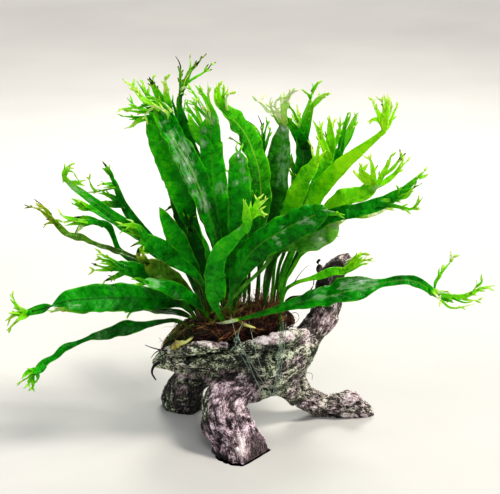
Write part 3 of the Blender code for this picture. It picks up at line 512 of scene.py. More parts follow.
def buildWood(material):
    # the limbs as closed grids, remeshed into one skin, which is carved along its normals
    sheets = newSheets()
    for spec in [*limbs.values(), *burls.values()]:
        addGrid(sheets, limbGrid(spec), closed=True, poles=True)
    mesh = modified(meshOf("roughWood", sheets), ("REMESH", dict(mode="VOXEL", voxel_size=wood["voxel"])),
                    ("SMOOTH", wood["smoothing"]))
    points, normals = readVectors(mesh.vertices, "co"), readVectors(mesh.vertex_normals, "vector")

    count = len(points)
    rise, tone, algae, total = np.zeros((4, count))
    grain, closest = np.zeros((count, 3)), np.full(count, np.inf)
    for spec in limbs.values():
        limbRise, limbTone, distance, limbGrain = carve(points, spec)
        grain[distance < closest] = limbGrain[distance < closest]
        closest = np.minimum(closest, distance)
        weight = np.exp(-wood["blend"] * distance)
        rise = rise + weight * limbRise
        # each limb's lit is painted light and shade added to its tone
        tone = tone + weight * (limbTone + spec["lit"])
        algae = algae + weight * spec.get("algae", 0)
        total = total + weight
    rise, tone, algae = rise / total, tone / total, algae / total
    bleachedAndLit = np.zeros(count)
    patch = cloudNoise(points / (wood["cloudMm"] * mm), 91)
    tone = tone + wood["mottle"] * cloudNoise(points / (wood["mottleMm"] * mm), 92)
    points = points + normals * rise[:, None]
    for cutSpec in sawnFaces.values():
        normal = unit(np.array(cutSpec["normal"], float))
        spot = seenPoint(cutSpec["inside"]) + normal * cutSpec["outMm"] * mm
        points, flat = shave(points, spot, normal, cutSpec["reachMm"] * mm)
        tone = tone + flat * (cutSpec["tone"] + 0.12 * patch - tone) * 0.85
        bleachedAndLit = bleachedAndLit * (1 - flat) + cutSpec["bleachedAndLit"] * flat
    algae = np.clip(algae * (0.8 + 1.1 * patch), 0, 1)
    for kind, spot, sizeMm, strength in stainsAndShade.values():
        away = np.linalg.norm((points - seenPoint(spot)) / (np.array(sizeMm) * mm), axis=1)
        cover = strength * (1 - smoothstep(0.5, 1.2, away + 0.35 * patch))
        if kind == "bleachedAndLit":
            bleachedAndLit = np.maximum(bleachedAndLit, cover)
            algae = algae * (1 - cover)
        if kind == "algae":
            algae = np.maximum(algae, cover)
        # dark patches lower the tone as painted shade; bleached ones raise it, partly as painted highlight
        tone = tone + {"bleachedAndLit": 0.2, "dark": -0.18, "algae": -0.02}[kind] * cover
    points[:, 2] = np.where(points[:, 2] < wood["ground"], 0, points[:, 2])
    mesh.vertices.foreach_set("co", points.ravel())
    pointLayer(mesh, "woodLook", np.stack([tone, algae, bleachedAndLit], axis=1))
    pointLayer(mesh, "woodGrain", grain)
    mesh.update()
    nodes = [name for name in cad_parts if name.startswith("driftwood")]
    return addPiece("driftwood_skin", mesh, material, nodes), points


# the fronds. route and crest are px,py,depth in mm: the midrib from the root mat to the crest, and the tips
# of its fingers. width is the blade's in mm, or knots of share of the route,mm; stalk is the share with no
# blade, and wingMm the width of its narrow margins. roll turns the blade about its midrib: share,degrees from
# facing the viewer. fold, ruffle, dimple and skyward are shares of the leaf's own. shade (a number, or knots
# of share,shade) and rib run from -1 to 1, dark to light; shade is the frond's own tone together with painted
# shade, darker near the mat and on fronds in shadow. halves is how much lighter one half is, as painted
# light.
# old is how pale the end is, and browned and paleFootMm are the stalk's. film holds whitish patches of
# painted sheen, where the wet blade would reflect light: px,py,reach in px,strength. sprigs trace a crest: a
# kind, half its width in mm, and the pixels it passes, from the blade or from an earlier sprig.
fronds = {
    "tall_left": dict(
        route="211,312,6 207,280,5 197,240,2 188,214,-2 181,192,-7 171,166,-11 159,132,-17 152,111,-20",
        width="0,1.2 0.22,1.2 0.35,4.6 0.48,8 0.6,11 0.72,12.5 0.85,13 0.93,11 1,5", roll="0,-10 1,-15",
        paintedHalfLight=-0.14, shade="0,-0.7 0.4,0 0.7,0.25 1,0.3", rib=0, paintedSheen="161,142,2.5,1.5 162,146,2.5,1.5",
        sprigs="""
    green 0.9 152,116 142,117.5 133,117 120,116
    green 0.6 137,118 133,119.5 129,119.5
    paleEnd 1.1 152,118 143,119 136,122 132,126 124,128.5
    tip 0.7 152,112 141,112 132,111 124,111
    young 0.7 150,111 138,108 131,108 118,109
    """),
    "tall_left_front": dict(
        route=("224,316,-8 222,280,-10 216,240,-14 203,198,-20 186,160,-26 168,130,-32 158,115,-35 "
               "155,108,-36"), width="0,1.2 0.22,1.2 0.3,4 0.45,9 0.65,12.2 0.85,11.5 0.95,9 1,5",
        roll="0,5 1,12", ruffle=0.7, paintedHalfLight=-0.12, shade="0,-0.9 0.5,-0.35 0.75,-0.1 1,0", rib=0.6,
        paintedSheen=("165,120,9,0.8 170,130,9,0.8 178,150,17,0.8 173,138,11,0.8 185,162,13,0.8 191,178,12,0.8 "
              "195,192,12,0.8 206,206,10,0.8 166,112,7,1 201,198,8,0.8"),
        sprigs="""
    white 0.6 168,114 160,108 152,106 146,107
    white 0.7 172,112 164,104 156,101 148,100
    green 1.6 170,120 163,108 157,101 152,96
    shaded 1.8 166,122 156,112 147,107 141,104
    shaded 2.2 176,126 168,112 160,103 152,97
    tip 1.1 160,110 150,103 143,99 137,92 131,85 127,83 122,78
    tip 0.7 133,88 133.5,83 135,77
    green 1 162,108 152,100 146,94 141,87 137,81
    tip 0.6 146,94 144,88 142.5,80
    black 1.8 166,108 160,97 155,88 151,81 149,77
    young 0.6 155,88 153,82 153,76
    paleEnd 1.4 171,114 168,103 166.5,95 166,87 165,80 165,75
    white 0.8 168,111 158,105 149,101 141,96 136.5,94
    white 0.6 164,112 156,109 150,110.5 147,113 145.5,117
    green 0.9 156,109 147,104.5 138,108 132,103 127,98
    green 0.8 166,110 156,103 150,96 146,90
    """),
    "tall_top": dict(
        route="222,311,10 221,272,9 213,228,7 199,182,5 188,145,3 182,118,1 179,103,0 181,93,-1",
        width="0,1.2 0.2,1.2 0.3,5 0.45,10 0.6,9.5 0.75,8.5 0.85,6 0.93,3 1,2", roll="0,-10 1,-20",
        shade="0,-0.7 0.5,-0.3 0.75,-0.6 0.9,-0.45 1,-0.1", rib=0.1,
        sprigs="""
    white 0.45 184,82 188,75 192,68 200,60
    green 0.9 188,142 184,124 184,110 186,98
    shaded 2.4 197,174 193,156 189,142 186,130
    shaded 2.6 187,142 181,126 176,112 172,99
    tanBlack 0.8 180,97 180.5,86 180,75 180.5,67 178.5,61 175.5,56.5
    tanBlack 1.2 181,95 184,86 187,78 190,71 195,66 200,60.5 202,56
    tip 0.5 189,72 190.5,66 190,58
    black 0.6 184,87 190,81 196,77 203,73 208,69 212,63
    white 0.6 180,91 183,88 188,87.5 190,89
    white 0.4 178,95 182,93 187,95
    """),
    "tall_centre": dict(
        route="228,313,-3 224,270,-6 219,230,-10 214,190,-14 211,150,-17 211,128,-19 213,112,-20",
        width="0,1.2 0.08,3 0.2,6 0.32,9 0.5,12 0.68,13 0.82,11 0.92,9.5 1,5", roll="0,0 1,5",
        shade="0,-0.8 0.4,-0.35 0.7,0.05 1,0.35", rib=0.35,
        paintedSheen="208,113,10,0.9 213,118,8,0.9 203,132,8,0.8 204,142,8,0.8 222,188,9,0.8",
        sprigs="""
    white 0.7 208,122 204,112 200,103 197,96
    young 0.7 204,128 198,114 195,104 193,97
    green 0.9 205,132 197,120 190,110 184,100
    green 2.6 207,146 198,134 192,124 188,113
    young 1.9 214,118 207,101 200,91 194,84
    green 1.2 210,119 204,110 198,100 193,92 189,87
    paleEnd 1.1 214,114 209.5,101 208.5,91 208,81
    tip 0.7 213,124 209,112 206,104
    green 0.9 207,118 200,110 193,103 187,100
    """),
    "tall_curled": dict(
        route=("234,312,1 246,270,0 257,230,-2 261,200,-4 259,172,-6 251,147,-8 241,128,-10 228,113,-12 "
               "222,104,-12"), width="0,1.2 0.2,1.2 0.32,5 0.5,9.5 0.68,11 0.8,11.5 0.88,11 0.94,9 1,6",
        roll="0,10 1,20", tone="fresh", paintedHalfLight=0.22, shade="0,-0.9 0.4,-0.7 0.7,-0.33 0.9,-0.25 1,-0.1",
        rib=0.42, paintedSheen="224,104,7,0.95 227,109,6,0.8",
        sprigs="""
    white 1.3 227,113 225,105 223,98
    young 1.4 224,110 217,103 215.5,94 217,87 216,83.5
    young 1 223,108 219.5,97 219,88 220,82
    green 1 225,109 223,98 223.5,90 223.5,84
    white 0.7 227,111 226,100 228,95 233,91.5
    tip 0.4 218,87 219,84 222,82
    black 0.5 240,144 234,140 229.5,136.5
    """),
    "front_wet": dict(route="233,318,-13 236,275,-17 239,235,-21 240,200,-25 239,172,-28 239,151,-30",
        width="0,1.2 0.1,3 0.35,7 0.6,10.5 0.8,11 0.93,9.5 1,6", roll="0,-10 1,-10", dimple=2.4,
        shade="0,-0.7 0.5,-0.2 1,0.25", rib=0,
        paintedSheen="238,155,4,1.5 243,161,5,1.4 246,180,5,1.3 236,184,4,1.2 243,170,5,0.8",
        sprigs="""
    green 0.7 239,154 241,147 243,143
    green 0.5 239,156 236,148 237,144
    """),
    "upper_arched": dict(
        route="266,308,7 268,282,8 269,262,9 273,230,9 275,200,8 277,170,6 280,148,5 283,131,3 284,121,2",
        width="0,1.2 0.26,2.4 0.42,7 0.6,11.5 0.78,12 0.88,9.5 0.95,6 1,3", roll="0,10 1,10", dimple=2.2,
        tone="pale", paintedHalfLight=0.3, shade="0,-1 0.5,-0.75 0.75,-0.6 1,-0.1", rib=0.1,
        paintedSheen=("284,127,7,1.3 287,137,7,0.8 286,147,7,0.8 284,156,9,0.8 284,166,9,0.8 284,175,9,0.8 "
              "282,184,7,0.8 279,133,5,0.8"),
        sprigs="""
    white 1.1 283,126 277,116 272,110 270,103 271.5,97
    white 0.9 274,112 268,111 264,106 259,102 255,100
    white 0.6 262,104 261,101 262.5,97
    white 1 284,124 279,113 275,106 277,100 282,96
    white 0.8 284,122 282,110 281,103 285,96
    tip 1.5 285,124 284,113 285,104 288,97 292,92 300,90
    young 1.1 286,122 285,112 288,106 288,101
    tip 0.8 281,120 276,113 278,107
    green 1.3 281,124 275,117 272,111
    """),
    "upper_forked": dict(
        route=("273,308,3 276,285,3 279,266,3 283,255,3 287,243,4 294,213,4 300,178,5 303,158,6 300,141,7 "
               "297,131,7"), width="0,1.2 0.34,1.8 0.52,6 0.7,9 0.88,9.5 0.96,7.5 1,5", wingMm=2,
        roll="0,25 1,20", fold=2.4, paintedHalfLight=-0.2, shade="0,-0.9 0.5,-0.45 0.7,-0.6 0.9,-0.8 1,0.2", rib=0.2,
        sprigs="""
    green 1.6 301,182 294,176 288,168
    green 2.2 301,178 294,168 291,160 292,153
    white 1.2 301,130 297,123 292,118
    white 0.6 305,126 310,115 313,108
    green 2.6 303,138 307,122 311,110 314,101
    green 2.7 302,142 297,132 290,122 284,115 278,110
    tip 1 300,133 299.5,122 298,112 297,104
    young 2 301,136 305,118 309,106 312,95 313.5,88 312,83
    young 0.9 312,92 315,87 319,81
    young 0.9 311,98 308,94 304.5,92
    tip 1.1 311,108 317,101 322,96.5 326,94 332,94
    white 0.7 310,112 315,104 318,97 318.5,92
    young 1.4 303,134 308,118 313,107
    tan 0.7 298,122 293,111 289,106 287,103
    """),
    "upper_back": dict(route="256,306,14 259,262,17 260,220,20 261,180,23 263,150,25",
        width="0,1.2 0.3,1.2 0.45,5 0.7,8 0.9,5 1,3", wingMm=1.4, roll="0,0 1,15", shade=-0.4, rib=0,
        sprigs="""
    black 0.7 262,153 262,138 262,126 258,115
    green 1.1 263,154 265,134 267,124 266,116
    green 0.8 263,154 268,138 271,127
    black 0.5 262,140 256,128 248,121
    """),
    "right_fan_left": dict(
        route=("276,308,9 279,284,10 283,268,11 288,256,12 292,247,12 301,224,13 316,190,14 325,165,15 "
               "329,150,15"), width="0,1.2 0.35,1.2 0.5,4.5 0.7,8 0.88,7.5 1,4", wingMm=2, roll="0,0 1,10",
        tone="fresh", shade="0,-0.8 0.5,-0.2 0.8,-0.3 1,0.3", rib=0.2,
        sprigs="""
    young 2.2 330,158 331,140 330,126 329,115
    young 1.9 329,158 323,143 318,130 313,120
    young 0.8 322,138 321,129 319.5,121
    tip 0.7 330,134 333,124 335,118
    green 1.2 331,154 338,136 340,125 340,116
    black 0.7 331,148 327,138 325,131
    """),
    "right_fan_right": dict(
        route=("278,309,13 283,286,15 289,270,17 295,258,18 300,247,19 307,225,21 321,187,25 334,161,26 "
               "341,147,27"), width="0,1.2 0.4,1.2 0.54,4.5 0.72,7.5 0.88,6 1,4", wingMm=2.2,
        roll="0,-10 1,0", shade="0,-0.8 0.5,-0.4 0.8,-0.35 1,0.2", rib=0.1,
        sprigs="""
    green 1.7 340,154 342,140 345,127 348,112
    young 1.4 341,152 347,135 352,123 356,115 359,112
    green 1 342,150 350,137 355,124 357,116
    young 0.9 345,128 349,119 351,113
    black 0.6 341,150 339,142 340,134
    """),
    "yellow_long": dict(
        route=("277,310,-3 281,285,-4 286,269,-5 291,257,-6 296,245,-6 303,222,-8 318,192,-11 341,166,-15 "
               "362,149,-18 378,136,-20 385,128,-20"),
        width="0,1.2 0.3,1.2 0.42,5 0.6,8 0.74,7.2 0.83,5.2 0.93,2.8 1,2.2", wingMm=2.6, roll="0,15 1,25",
        tone="fresh", shade="0,-0.7 0.4,0.1 0.6,0.65 0.8,1 1,1", rib=0.05,
        sprigs="""
    young 1.8 384,132 384,122 385,112 386,103 384,95
    tip 1.2 383,130 379,115 375,107 371.5,98
    young 1 382,124 376,119 367,122
    tip 0.9 384,122 384,110 382,102 379.5,97
    white 1 386,124 390,112 391.5,104 388,97
    young 1.4 387,128 393,114 396.5,107 398,102
    tip 0.9 386,120 388,110 389,103 390,97
    black 0.6 385,110 383.5,106 381,104.5
    """),
    "bright_mid": dict(
        route=("270,311,-8 273,285,-9 274,268,-10 277,254,-12 283,236,-14 291,210,-16 302,184,-18 "
               "313,166,-20 317,155,-20"), width="0,1.2 0.33,1.2 0.5,6 0.7,9.5 0.88,8 1,3", wingMm=2,
        roll="0,-10 1,0", tone="fresh", shade="0,-0.7 0.4,0 1,0.6", rib=0.1,
        sprigs="""
    tip 0.8 317,160 318,150 319,142 317,135
    tip 0.6 316,162 312,152 311,143
    young 0.7 318,162 323,154 326,150
    """),
    "right_broad": dict(
        route=("281,311,-11 284,288,-13 291,271,-15 298,259,-16 306,248,-18 317,233,-20 327,217,-22 "
               "336,205,-25 348,198.5,-28 364,194,-31 376,187,-33"),
        width="0,1.2 0.46,1.2 0.56,6 0.7,9.5 0.85,9.5 1,6", wingMm=1.9, roll="0,-15 1,-10", tone="fresh",
        shade="0,-0.8 0.4,0 0.6,0.5 1,0.6", rib=0.05, paintedSheen="376,188,5,1.5 381,186,4,1.4",
        sprigs="""
    young 2.6 374,187 366,177 361,170 362,163
    tip 1.2 368,184 361,178 356,174 352,171
    young 1.6 374,186 373,172 371.5,163 368,155
    black 0.8 373,172 376,168 378,165
    young 1.7 376,186 384,172 388.5,163 391,156 393,153
    black 0.7 383,176 393,168 399,160 402,153
    young 1.9 376,188 391,178 398,171 404,164 409,160
    young 1 396,173 401,165 404.5,155.5
    black 0.7 380,178 379.5,171
    tip 0.8 362,172 366,166 369,163
    """),
    "broad_dark": dict(route="230,318,-18 234,284,-25 250,254,-33 278,233,-40 306,219,-45 328,210,-48",
        width="0,1.4 0.2,1.6 0.3,6 0.48,12.4 0.7,14.6 0.88,13 1,7", roll="0,0 1,5", fold=-1.3, skyward=0.8,
        paintedHalfLight=-0.14, shade="0,-0.9 0.3,-0.35 0.6,-0.2 1,-0.25", rib=0.35,
        paintedSheen=("283,230,5,0.9 288,227,4,0.8 276,239,4,0.95 279,243,4,1.1 285,242,4,0.8 265,246,4,0.8 "
              "261,247,3,0.8 255,254,3,1.1 260,253.5,3,1.1 266,253,3,0.8 299,222,5,0.8 306,220,5,0.9 "
              "312,219,4,0.8 315,222,5,1.6 318,223,4,1.2 320,206,4,0.8 326,207,5,1 332,209,4,1.1"), old=0.1,
        sprigs="""
    green 1.3 322,213 334,213.5 345,215
    """),
    "long_dark_right": dict(
        route=("263,314,-11 267,288,-14 272,266,-18 281,250,-24 298,236,-29 330,217,-36 360,210,-41 "
               "384,202,-43 398,194,-44 405,190,-44"),
        width="0,1.2 0.3,1.2 0.42,4 0.6,6.5 0.8,6.2 0.92,5.5 1,3.5", roll="0,-20 1,15",
        shade="0,-0.9 0.5,-0.3 0.8,-0.2 1,0.1", rib=-0.2,
        sprigs="""
    white 2 354,213 366,213.5 379,211 391,206
    green 2.2 398,196 408,187 416,179 424,172
    white 0.7 417,178 422,173 426,170
    tip 0.8 419,178 425,176 429,173.5
    green 0.9 398,194 398.5,189 398,186
    black 1.1 403,191 412,188.5 418,185
    young 1.4 396,197 405,196 410,192 413,187
    young 0.9 380,204 395,206 404,208 411,209 417,205 423,197
    paleEnd 1.2 384,201 393,200.5 403,203
    """),
    "pale_under": dict(
        route=("221,313,-16 232,299,-18 243,287,-19 255,276,-20 265,266,-20 274,254,-20 285,245,-21 "
               "300,237,-25 318,228,-30 337,219,-32"),
        width="0,1.2 0.52,1.8 0.6,4 0.7,11 0.8,17 0.91,17 1,11", wingMm=1.7, roll="0,20 1,25", fold=0.5,
        ruffle=2, dimple=2.4, tone="pale", shade="0,-0.35 0.5,-0.15 0.65,-0.2 0.75,-0.1 1,0.15", rib=0.1,
        paintedSheen=("321,231,7,0.9 320,238,7,0.9 326,233,6,1 330,231,5,0.8 316,243,8,0.9 324,241,7,0.9 "
              "330,237,5,0.8 334,224,6,0.8 338,227,5,0.8 305,246,5,0.9 304,251,4,0.9"),
        sprigs="""
    tip 1.2 333,228 338,223 343,217
    young 0.8 330,232 336,236 340,236
    """),
    "small_right": dict(route="280,314,3 285,291,2 293,284.5,1 302,281,1 318,276.5,1 332,271.5,1 348,272,2",
        width="0,1.6 0.45,1.7 0.56,2 0.64,3.2 0.78,4.2 0.92,3.8 1,2.6", wingMm=1.7, roll="0,0 1,10",
        tone="fresh", shade="0,-0.6 0.5,0.1 1,0.3",
        sprigs="""
    young 1.7 343,271 350,265 357,257 366,252.5
    young 1.7 344,271 353,264.5 362,260.5 370,259.5
    green 1.3 345,272 355,267.5 363,264 369,263
    young 0.8 352,263 358,261 363,256.5
    tip 0.8 349,266 354,259 360,254
    white 0.7 346,270 350,265 353,260
    """),
    "long_right": dict(
        route=("226,322,-19 248,317,-27 270,311.5,-30 290,305.5,-31 305,301.5,-31 320,298,-31 342,293,-32 "
               "360,288,-32 383,283,-33 405,280,-33 420,284,-32 433,292,-31 441,298,-31"),
        width=("0,2 0.2,2.2 0.27,3 0.34,4.4 0.39,5.8 0.44,8 0.49,10 0.55,13 0.61,13.5 0.67,9 0.73,3.4 "
               "0.8,4.2 0.87,5 0.93,3.8 1,3"), wingMm=2, roll="0,0 0.45,0 0.55,-25 0.66,10 1,15",
        paintedHalfLight=0.14, shade="0,-0.3 0.2,-0.4 0.5,-0.2 0.6,-0.3 0.75,-0.2 0.85,-0.4 1,0.1", rib=0.3,
        paintedSheen=("350,283,11,0.8 362,282,11,0.9 372,283,8,0.9 338,300,9,0.8 347,299,8,0.8 437,294,8,0.8 "
              "441,299,6,0.8 320,294,9,0.8 342,286,9,0.8"), paleFootMm=17,
        sprigs="""
    young 1 434,294 435,284 438,278 442,272 447,266 451,261 452,257
    white 0.8 451,262 451,256 450,250
    white 0.8 451,261 454,256 458,255
    white 1.6 437,293 439,297 441,303
    white 0.8 436,293 445,291.5 453,295
    young 1.2 438,295 448,296 460,297 470,294 480,289 487,287 495,285.5
    young 0.7 470,294 475,288 477,284 476,280
    young 0.6 476,287 481,283 483,278
    green 1.7 440,297 448,300 454,303
    tip 0.6 441,300 449,307 457,308 466,306 474,304
    tip 0.6 458,297 470,300.5 479,300
    green 0.6 452,298 464,302.5 472,302
    """),
    "left_wavy": dict(
        route=("190,328,-17 178,321,-21 165,321,-24 150,324,-26 138,326.5,-28 125,328.5,-30 110,333,-32 "
               "97,336,-34 85,340,-37 75,344,-38 66,348,-40 56,356,-41 46,362,-42 38,369,-44 32,376,-45"),
        width=("0,1.2 0.15,1.4 0.24,2.6 0.31,3.4 0.39,7.2 0.48,6.6 0.56,5 0.64,1.8 0.71,2.6 0.77,4.4 "
               "0.84,2.8 0.91,4.4 1,2.6"), roll="0,0 1,20", ruffle=1.5, skyward=0.4,
        shade="0,-0.9 0.3,-0.7 0.7,-0.5 0.9,-0.2 1,0.3", rib=-0.2,
        sprigs="""
    green 1.8 40,370 31,371 25,374 22,379
    tip 1 34,374 26,379 18,384
    young 0.8 33,376 29,384 23,389
    green 0.8 33,376 33,385 32,390
    green 1 37,372 38,378 36,382
    tip 0.6 31,378 28,382 30,386
    """),
    "left_wide": dict(
        route=("196,320,-13 184,305,-17 160,300,-20 125,298,-24 90,299,-28 68,301,-30 52,306,-32 "
               "42,309,-33 30,312,-34 22,314,-35"),
        width=("0,1.4 0.1,2.6 0.2,5.6 0.28,9.6 0.42,13.8 0.65,13.4 0.76,10 0.81,6 0.86,4.6 0.92,4.6 "
               "0.97,3 1,3"), roll="0,0 0.76,0 0.82,50 0.9,140 1,170", skyward=0.55, paintedHalfLight=0.1,
        shade="0,-0.8 0.35,-0.4 0.6,-0.15 0.8,-0.1 1,0.3", rib=-0.6,
        paintedSheen="62,309,7,0.8 70,308,7,0.8 77,308,6,0.8",
        sprigs="""
    young 0.9 24,313 16,307 14,300 12,293
    tip 1.3 27,313 20,309 13,308
    tip 1.2 25,314 16,314 10,318 5,321
    tip 0.9 24,315 18,320 13,325 6,331
    young 1.7 28,313 22,317 16,321
    tip 0.9 20,313 13,313 11,316
    paleEnd 2.2 84,309 72,309 60,309 50,313
    """),
    "left_drooping": dict(route="195,320,0 182,313.5,3 166,311.5,4 152,310,4 139,307,3 131,311,2",
        width="0,1.2 0.12,2.4 0.35,4.4 0.7,4.6 1,2.4", roll="0,20 1,25", shade=-0.7,
        crest="127,319,1 124,311,3"),
    "left_low": dict(route="199,318,7 184,296,5 165,284,3 145,275,1 126,268,-2 115,265,-3",
        width="0,1.2 0.25,1.2 0.4,6 0.6,9.5 0.85,8.5 1,4", wingMm=3.4, roll="0,10 1,0",
        shade="0,-0.9 0.5,-0.5 1,0", rib=0,
        sprigs="""
    young 1.2 122,267 112,260 105,256 98,252
    young 1.1 120,266 108,261 96,258
    young 1.2 120,267 108,264 99,263
    black 1.3 118,267 104,267 91,263
    paleEnd 1.1 118,268 104,270 91,270
    black 1.3 128,270 115,277 108,279.5 103,282
    tip 0.8 109,258 103,255 99,250
    green 1.5 124,268 114,269 106,271
    """),
    "left_long_thin": dict(
        route=("202,316,13 180,287,14 155,268,13 130,256,12 112,250,11 95,243,9 78,238,7 65,233,5 "
               "58,226,5 54,219,4"),
        width="0,1.2 0.3,1.4 0.5,3 0.61,2.4 0.7,3.2 0.74,1.8 0.8,4.4 0.87,3.6 0.94,3.2 1,3", wingMm=3.4,
        roll="0,10 1,20", ruffle=1.6, tone="olive", shade="0,-0.6 0.5,-0.25 0.75,0 1,0.35", rib=-0.2,
        sprigs="""
    black 1 54,220 46,213 38,209 31,207 24.5,208.5
    tanBlack 1.1 54,219 46,209 41,204 34,199
    young 1.1 53,220 44,213 39,209
    tanBlack 0.9 55,221 50,219 46,219.5
    young 0.9 55,223 49,223 43,225
    young 0.8 51,215 44,208 36,205
    """),
    "left_arching": dict(
        route=("199,314,9 178,288,14 150,268,17 130,258,18 119,250,18 113,236,17 107,226,16 95,222,14 "
               "86,223,13"), width="0,1.2 0.3,1.2 0.5,4 0.62,3.4 0.75,2.4 0.85,3.6 0.95,3.2 1,2",
        wingMm=3.4, roll="0,-10 1,10", shade="0,-0.8 0.6,-0.45 1,-0.1", rib=0,
        sprigs="""
    black 1.4 92,222 82,225 77,231 74,236
    white 0.9 84,224 80,228 76,234
    black 1.3 99,223 88,218 80,217.5 73,217
    young 1 92,222 80,223 72,224 65,226
    tip 1.1 88,222 74,220 66,222 60,221.5
    young 0.9 78,220 68,218 61,215
    """),
    "left_high": dict(
        route=("206,314,-3 203,294,-5 194,276,-7 178,262,-9 160,249,-12 140,234,-16 118,219,-20 "
               "100,206,-22 86,196,-24 75,188,-25 67,180,-25 64,174,-25"),
        width="0,1.2 0.28,1.2 0.45,4.5 0.6,5 0.75,4 0.88,3.4 0.95,2.6 1,2", wingMm=2.4, roll="0,-20 1,-10",
        shade="0,-1 0.3,-0.6 0.55,-0.3 0.75,-0.1 0.88,0.4 1,1", rib=0.3,
        paintedSheen="76,188,6,0.8 70,183,5,0.8 82,193,5,0.8 90,200,4,0.8",
        sprigs="""
    young 1.2 64,177 64,171 68,167 73,163
    young 1.3 64,176 67,171 71,171 75,174
    tip 0.9 65,174 68,169 71,167
    young 1.2 70,183 77,183 85,186
    green 0.8 73,184 76,181 79,183
    young 1.2 67,181 64,179 63,183
    """),
    "left_high_back": dict(
        route="204,311,17 187,272,28 161,250,32 136,234,34 112,219,36 98,211,37 86,206,38",
        width="0,1.2 0.3,1.2 0.45,4 0.65,5.2 0.85,5 1,3", wingMm=3.4, roll="0,10 1,0",
        shade="0,-0.8 0.6,-0.4 1,0.2", rib=0,
        sprigs="""
    young 1.4 89,208 80,203 71,198
    green 1.3 88,208 79,205 73,204
    young 1.1 88,209 82,209 77,208
    tip 0.9 87,206 82,202 78,199
    """),
    "left_upright_dark": dict(
        route=("210,312,14 204,296,14 194,277,13 180,264,12 165,252,11 150,240,11 136,224,11 126,209,12 "
               "120,197,12 116,186,13 113,178,13"),
        width="0,1.2 0.3,1.2 0.45,4 0.62,6 0.76,5 0.87,3.4 1,2.6", wingMm=2.4, roll="0,-15 1,0",
        shade="0,-1 0.6,-0.65 1,-0.3", rib=0,
        sprigs="""
    black 1.3 113,180 110,172 106,166 102,161
    green 0.9 111,176 107,171 102,168
    black 0.9 114,184 107,184 100,184
    tan 1 116,189 105,190 96,192 87,192
    tan 0.7 97,192 92,187 89,179
    green 1.7 122,204 112,197 105,194 98,193
    green 1.7 124,206 110,204 100,203 92,202
    young 0.8 111,174 109,169 110,164
    tip 0.7 115,187 107,187 103,188
    """),
    "left_dark_wide": dict(
        route=("209,318,-7 207,299,-10 202,283,-11 191,271,-13 177,261.5,-15 163,251,-18 150,243,-20 "
               "141,235,-21"), width="0,1.2 0.33,2.4 0.46,4.4 0.6,6.6 0.75,9 0.9,8.5 1,4", wingMm=2.4,
        roll="0,-10 1,-15", shade="0,-0.9 0.5,-0.35 1,0.1", rib=0,
        sprigs="""
    young 1.1 144,234 138,227 129,225 118,225.5
    green 1 143,233 132,229 121,230
    young 0.8 143,232 138,226 133,222
    green 1.2 148,239 138,234 126,233
    black 1.2 152,245 140,243 130,247
    black 2.4 152,248 142,250 136,255
    """),
    "left_brown": dict(route="206,322,-13 199,306,-17 187,293,-20 171,280,-24 155,269,-27 144,263,-29",
        width="0,1.2 0.2,1.4 0.34,3.6 0.5,7 0.7,9.5 0.88,9 1,5", roll="0,-15 1,-5", tone="olive",
        shade="0,-0.8 0.5,-0.6 0.8,-0.35 1,-0.35", rib=-0.2,
        sprigs="""
    black 1.8 146,263 139,257 138,248
    green 1.2 147,262 143,256 143,250
    """),
    "left_pale": dict(route="211,321,-15 196,302,-23 174,291,-29 154,284,-33 143,281,-35",
        width="0,1.2 0.2,1.4 0.35,5 0.6,8 0.85,6 1,2.5", roll="0,15 1,5",
        shade="0,-0.8 0.6,-0.5 0.8,-0.3 1,0.2", rib=0, paintedSheen="156,283,7,0.9 148,282,6,0.8",
        sprigs="""
    green 1.2 146,282 140,279 135,278
    green 0.9 146,283 141,284 136,283
    """),
    "upright_lance": dict(
        route="212,314,-8 203,288,-8 192,268,-9 181,250,-9 171,231,-11 164,217,-13 159,207,-14",
        width="0,1.2 0.22,1.2 0.36,4.5 0.52,8.5 0.68,10 0.8,8.2 0.92,4.6 1,1.2", roll="0,0 1,0", fold=2,
        paintedHalfLight=-0.32, shade="0,-0.9 0.35,-0.4 0.6,0.1 1,0.05", rib=0, browned=0.1),
    # a near black leaf: painted shade, which also fills the shadow between the leaves round it
    "upright_lance_dark": dict(route="214,312,-1 208,285,-3 200,262,-4 193,240,-5 189,224,-6",
        width="0,1.2 0.25,1.2 0.42,5 0.65,8.5 0.88,7.5 1,3", roll="0,15 1,20", shade=-0.95, rib=0,
        sprigs="""
    shaded 1.4 190,228 192,218 196,213
    shaded 1.6 189,227 186,218 184,212 185,207
    """),
    "centre_front": dict(
        route=("226,324,-15 219,314,-21 214.5,302,-27 216,287,-34 214.5,271,-39 220,252,-43 233,239,-46 "
               "246,226,-48 249,213,-48"),
        width=("0,1.8 0.12,2.6 0.2,3.8 0.26,5.8 0.32,9.6 0.38,9.6 0.45,10.8 0.53,9.6 0.62,8.4 0.75,7.4 "
               "0.84,5.2 0.92,4 1,3.4"), roll="0,0 1,20", ruffle=1.5, skyward=0.3, paintedHalfLight=-0.12,
        shade="0,-0.3 0.3,0 0.6,0 0.75,0.2 0.85,0.5 1,1", rib=0.1, paintedSheen="240,229,4,0.9 236,232,3,0.8",
        old=0.8,
        sprigs="""
    young 2.6 247,228 247,215 246,207 243,199
    young 1.3 248,222 250,210 251,201
    tip 2 248,222 253,211 259,205 268,198
    young 1.3 254,211 257,204 258.5,197
    young 1.3 250,218 258,213 266,216
    young 0.9 251,215 256,211 263,211
    """),
    "centre_dark": dict(route="249,315,-8 249,285,-11 250,255,-13 252,225,-14 252,200,-15", width=8,
        stalk=0.55, wingMm=1.8, roll="0,20 1,10", shade=-0.6,
        sprigs="""
    shaded 1.5 252,204 250,195 247,187
    shaded 1.5 252,204 254,194 254,185
    """),
    "behind_tall_left": dict(route="217,311,15 206,275,17 194,245,16 184,222,14 177,206,12 173,194,11",
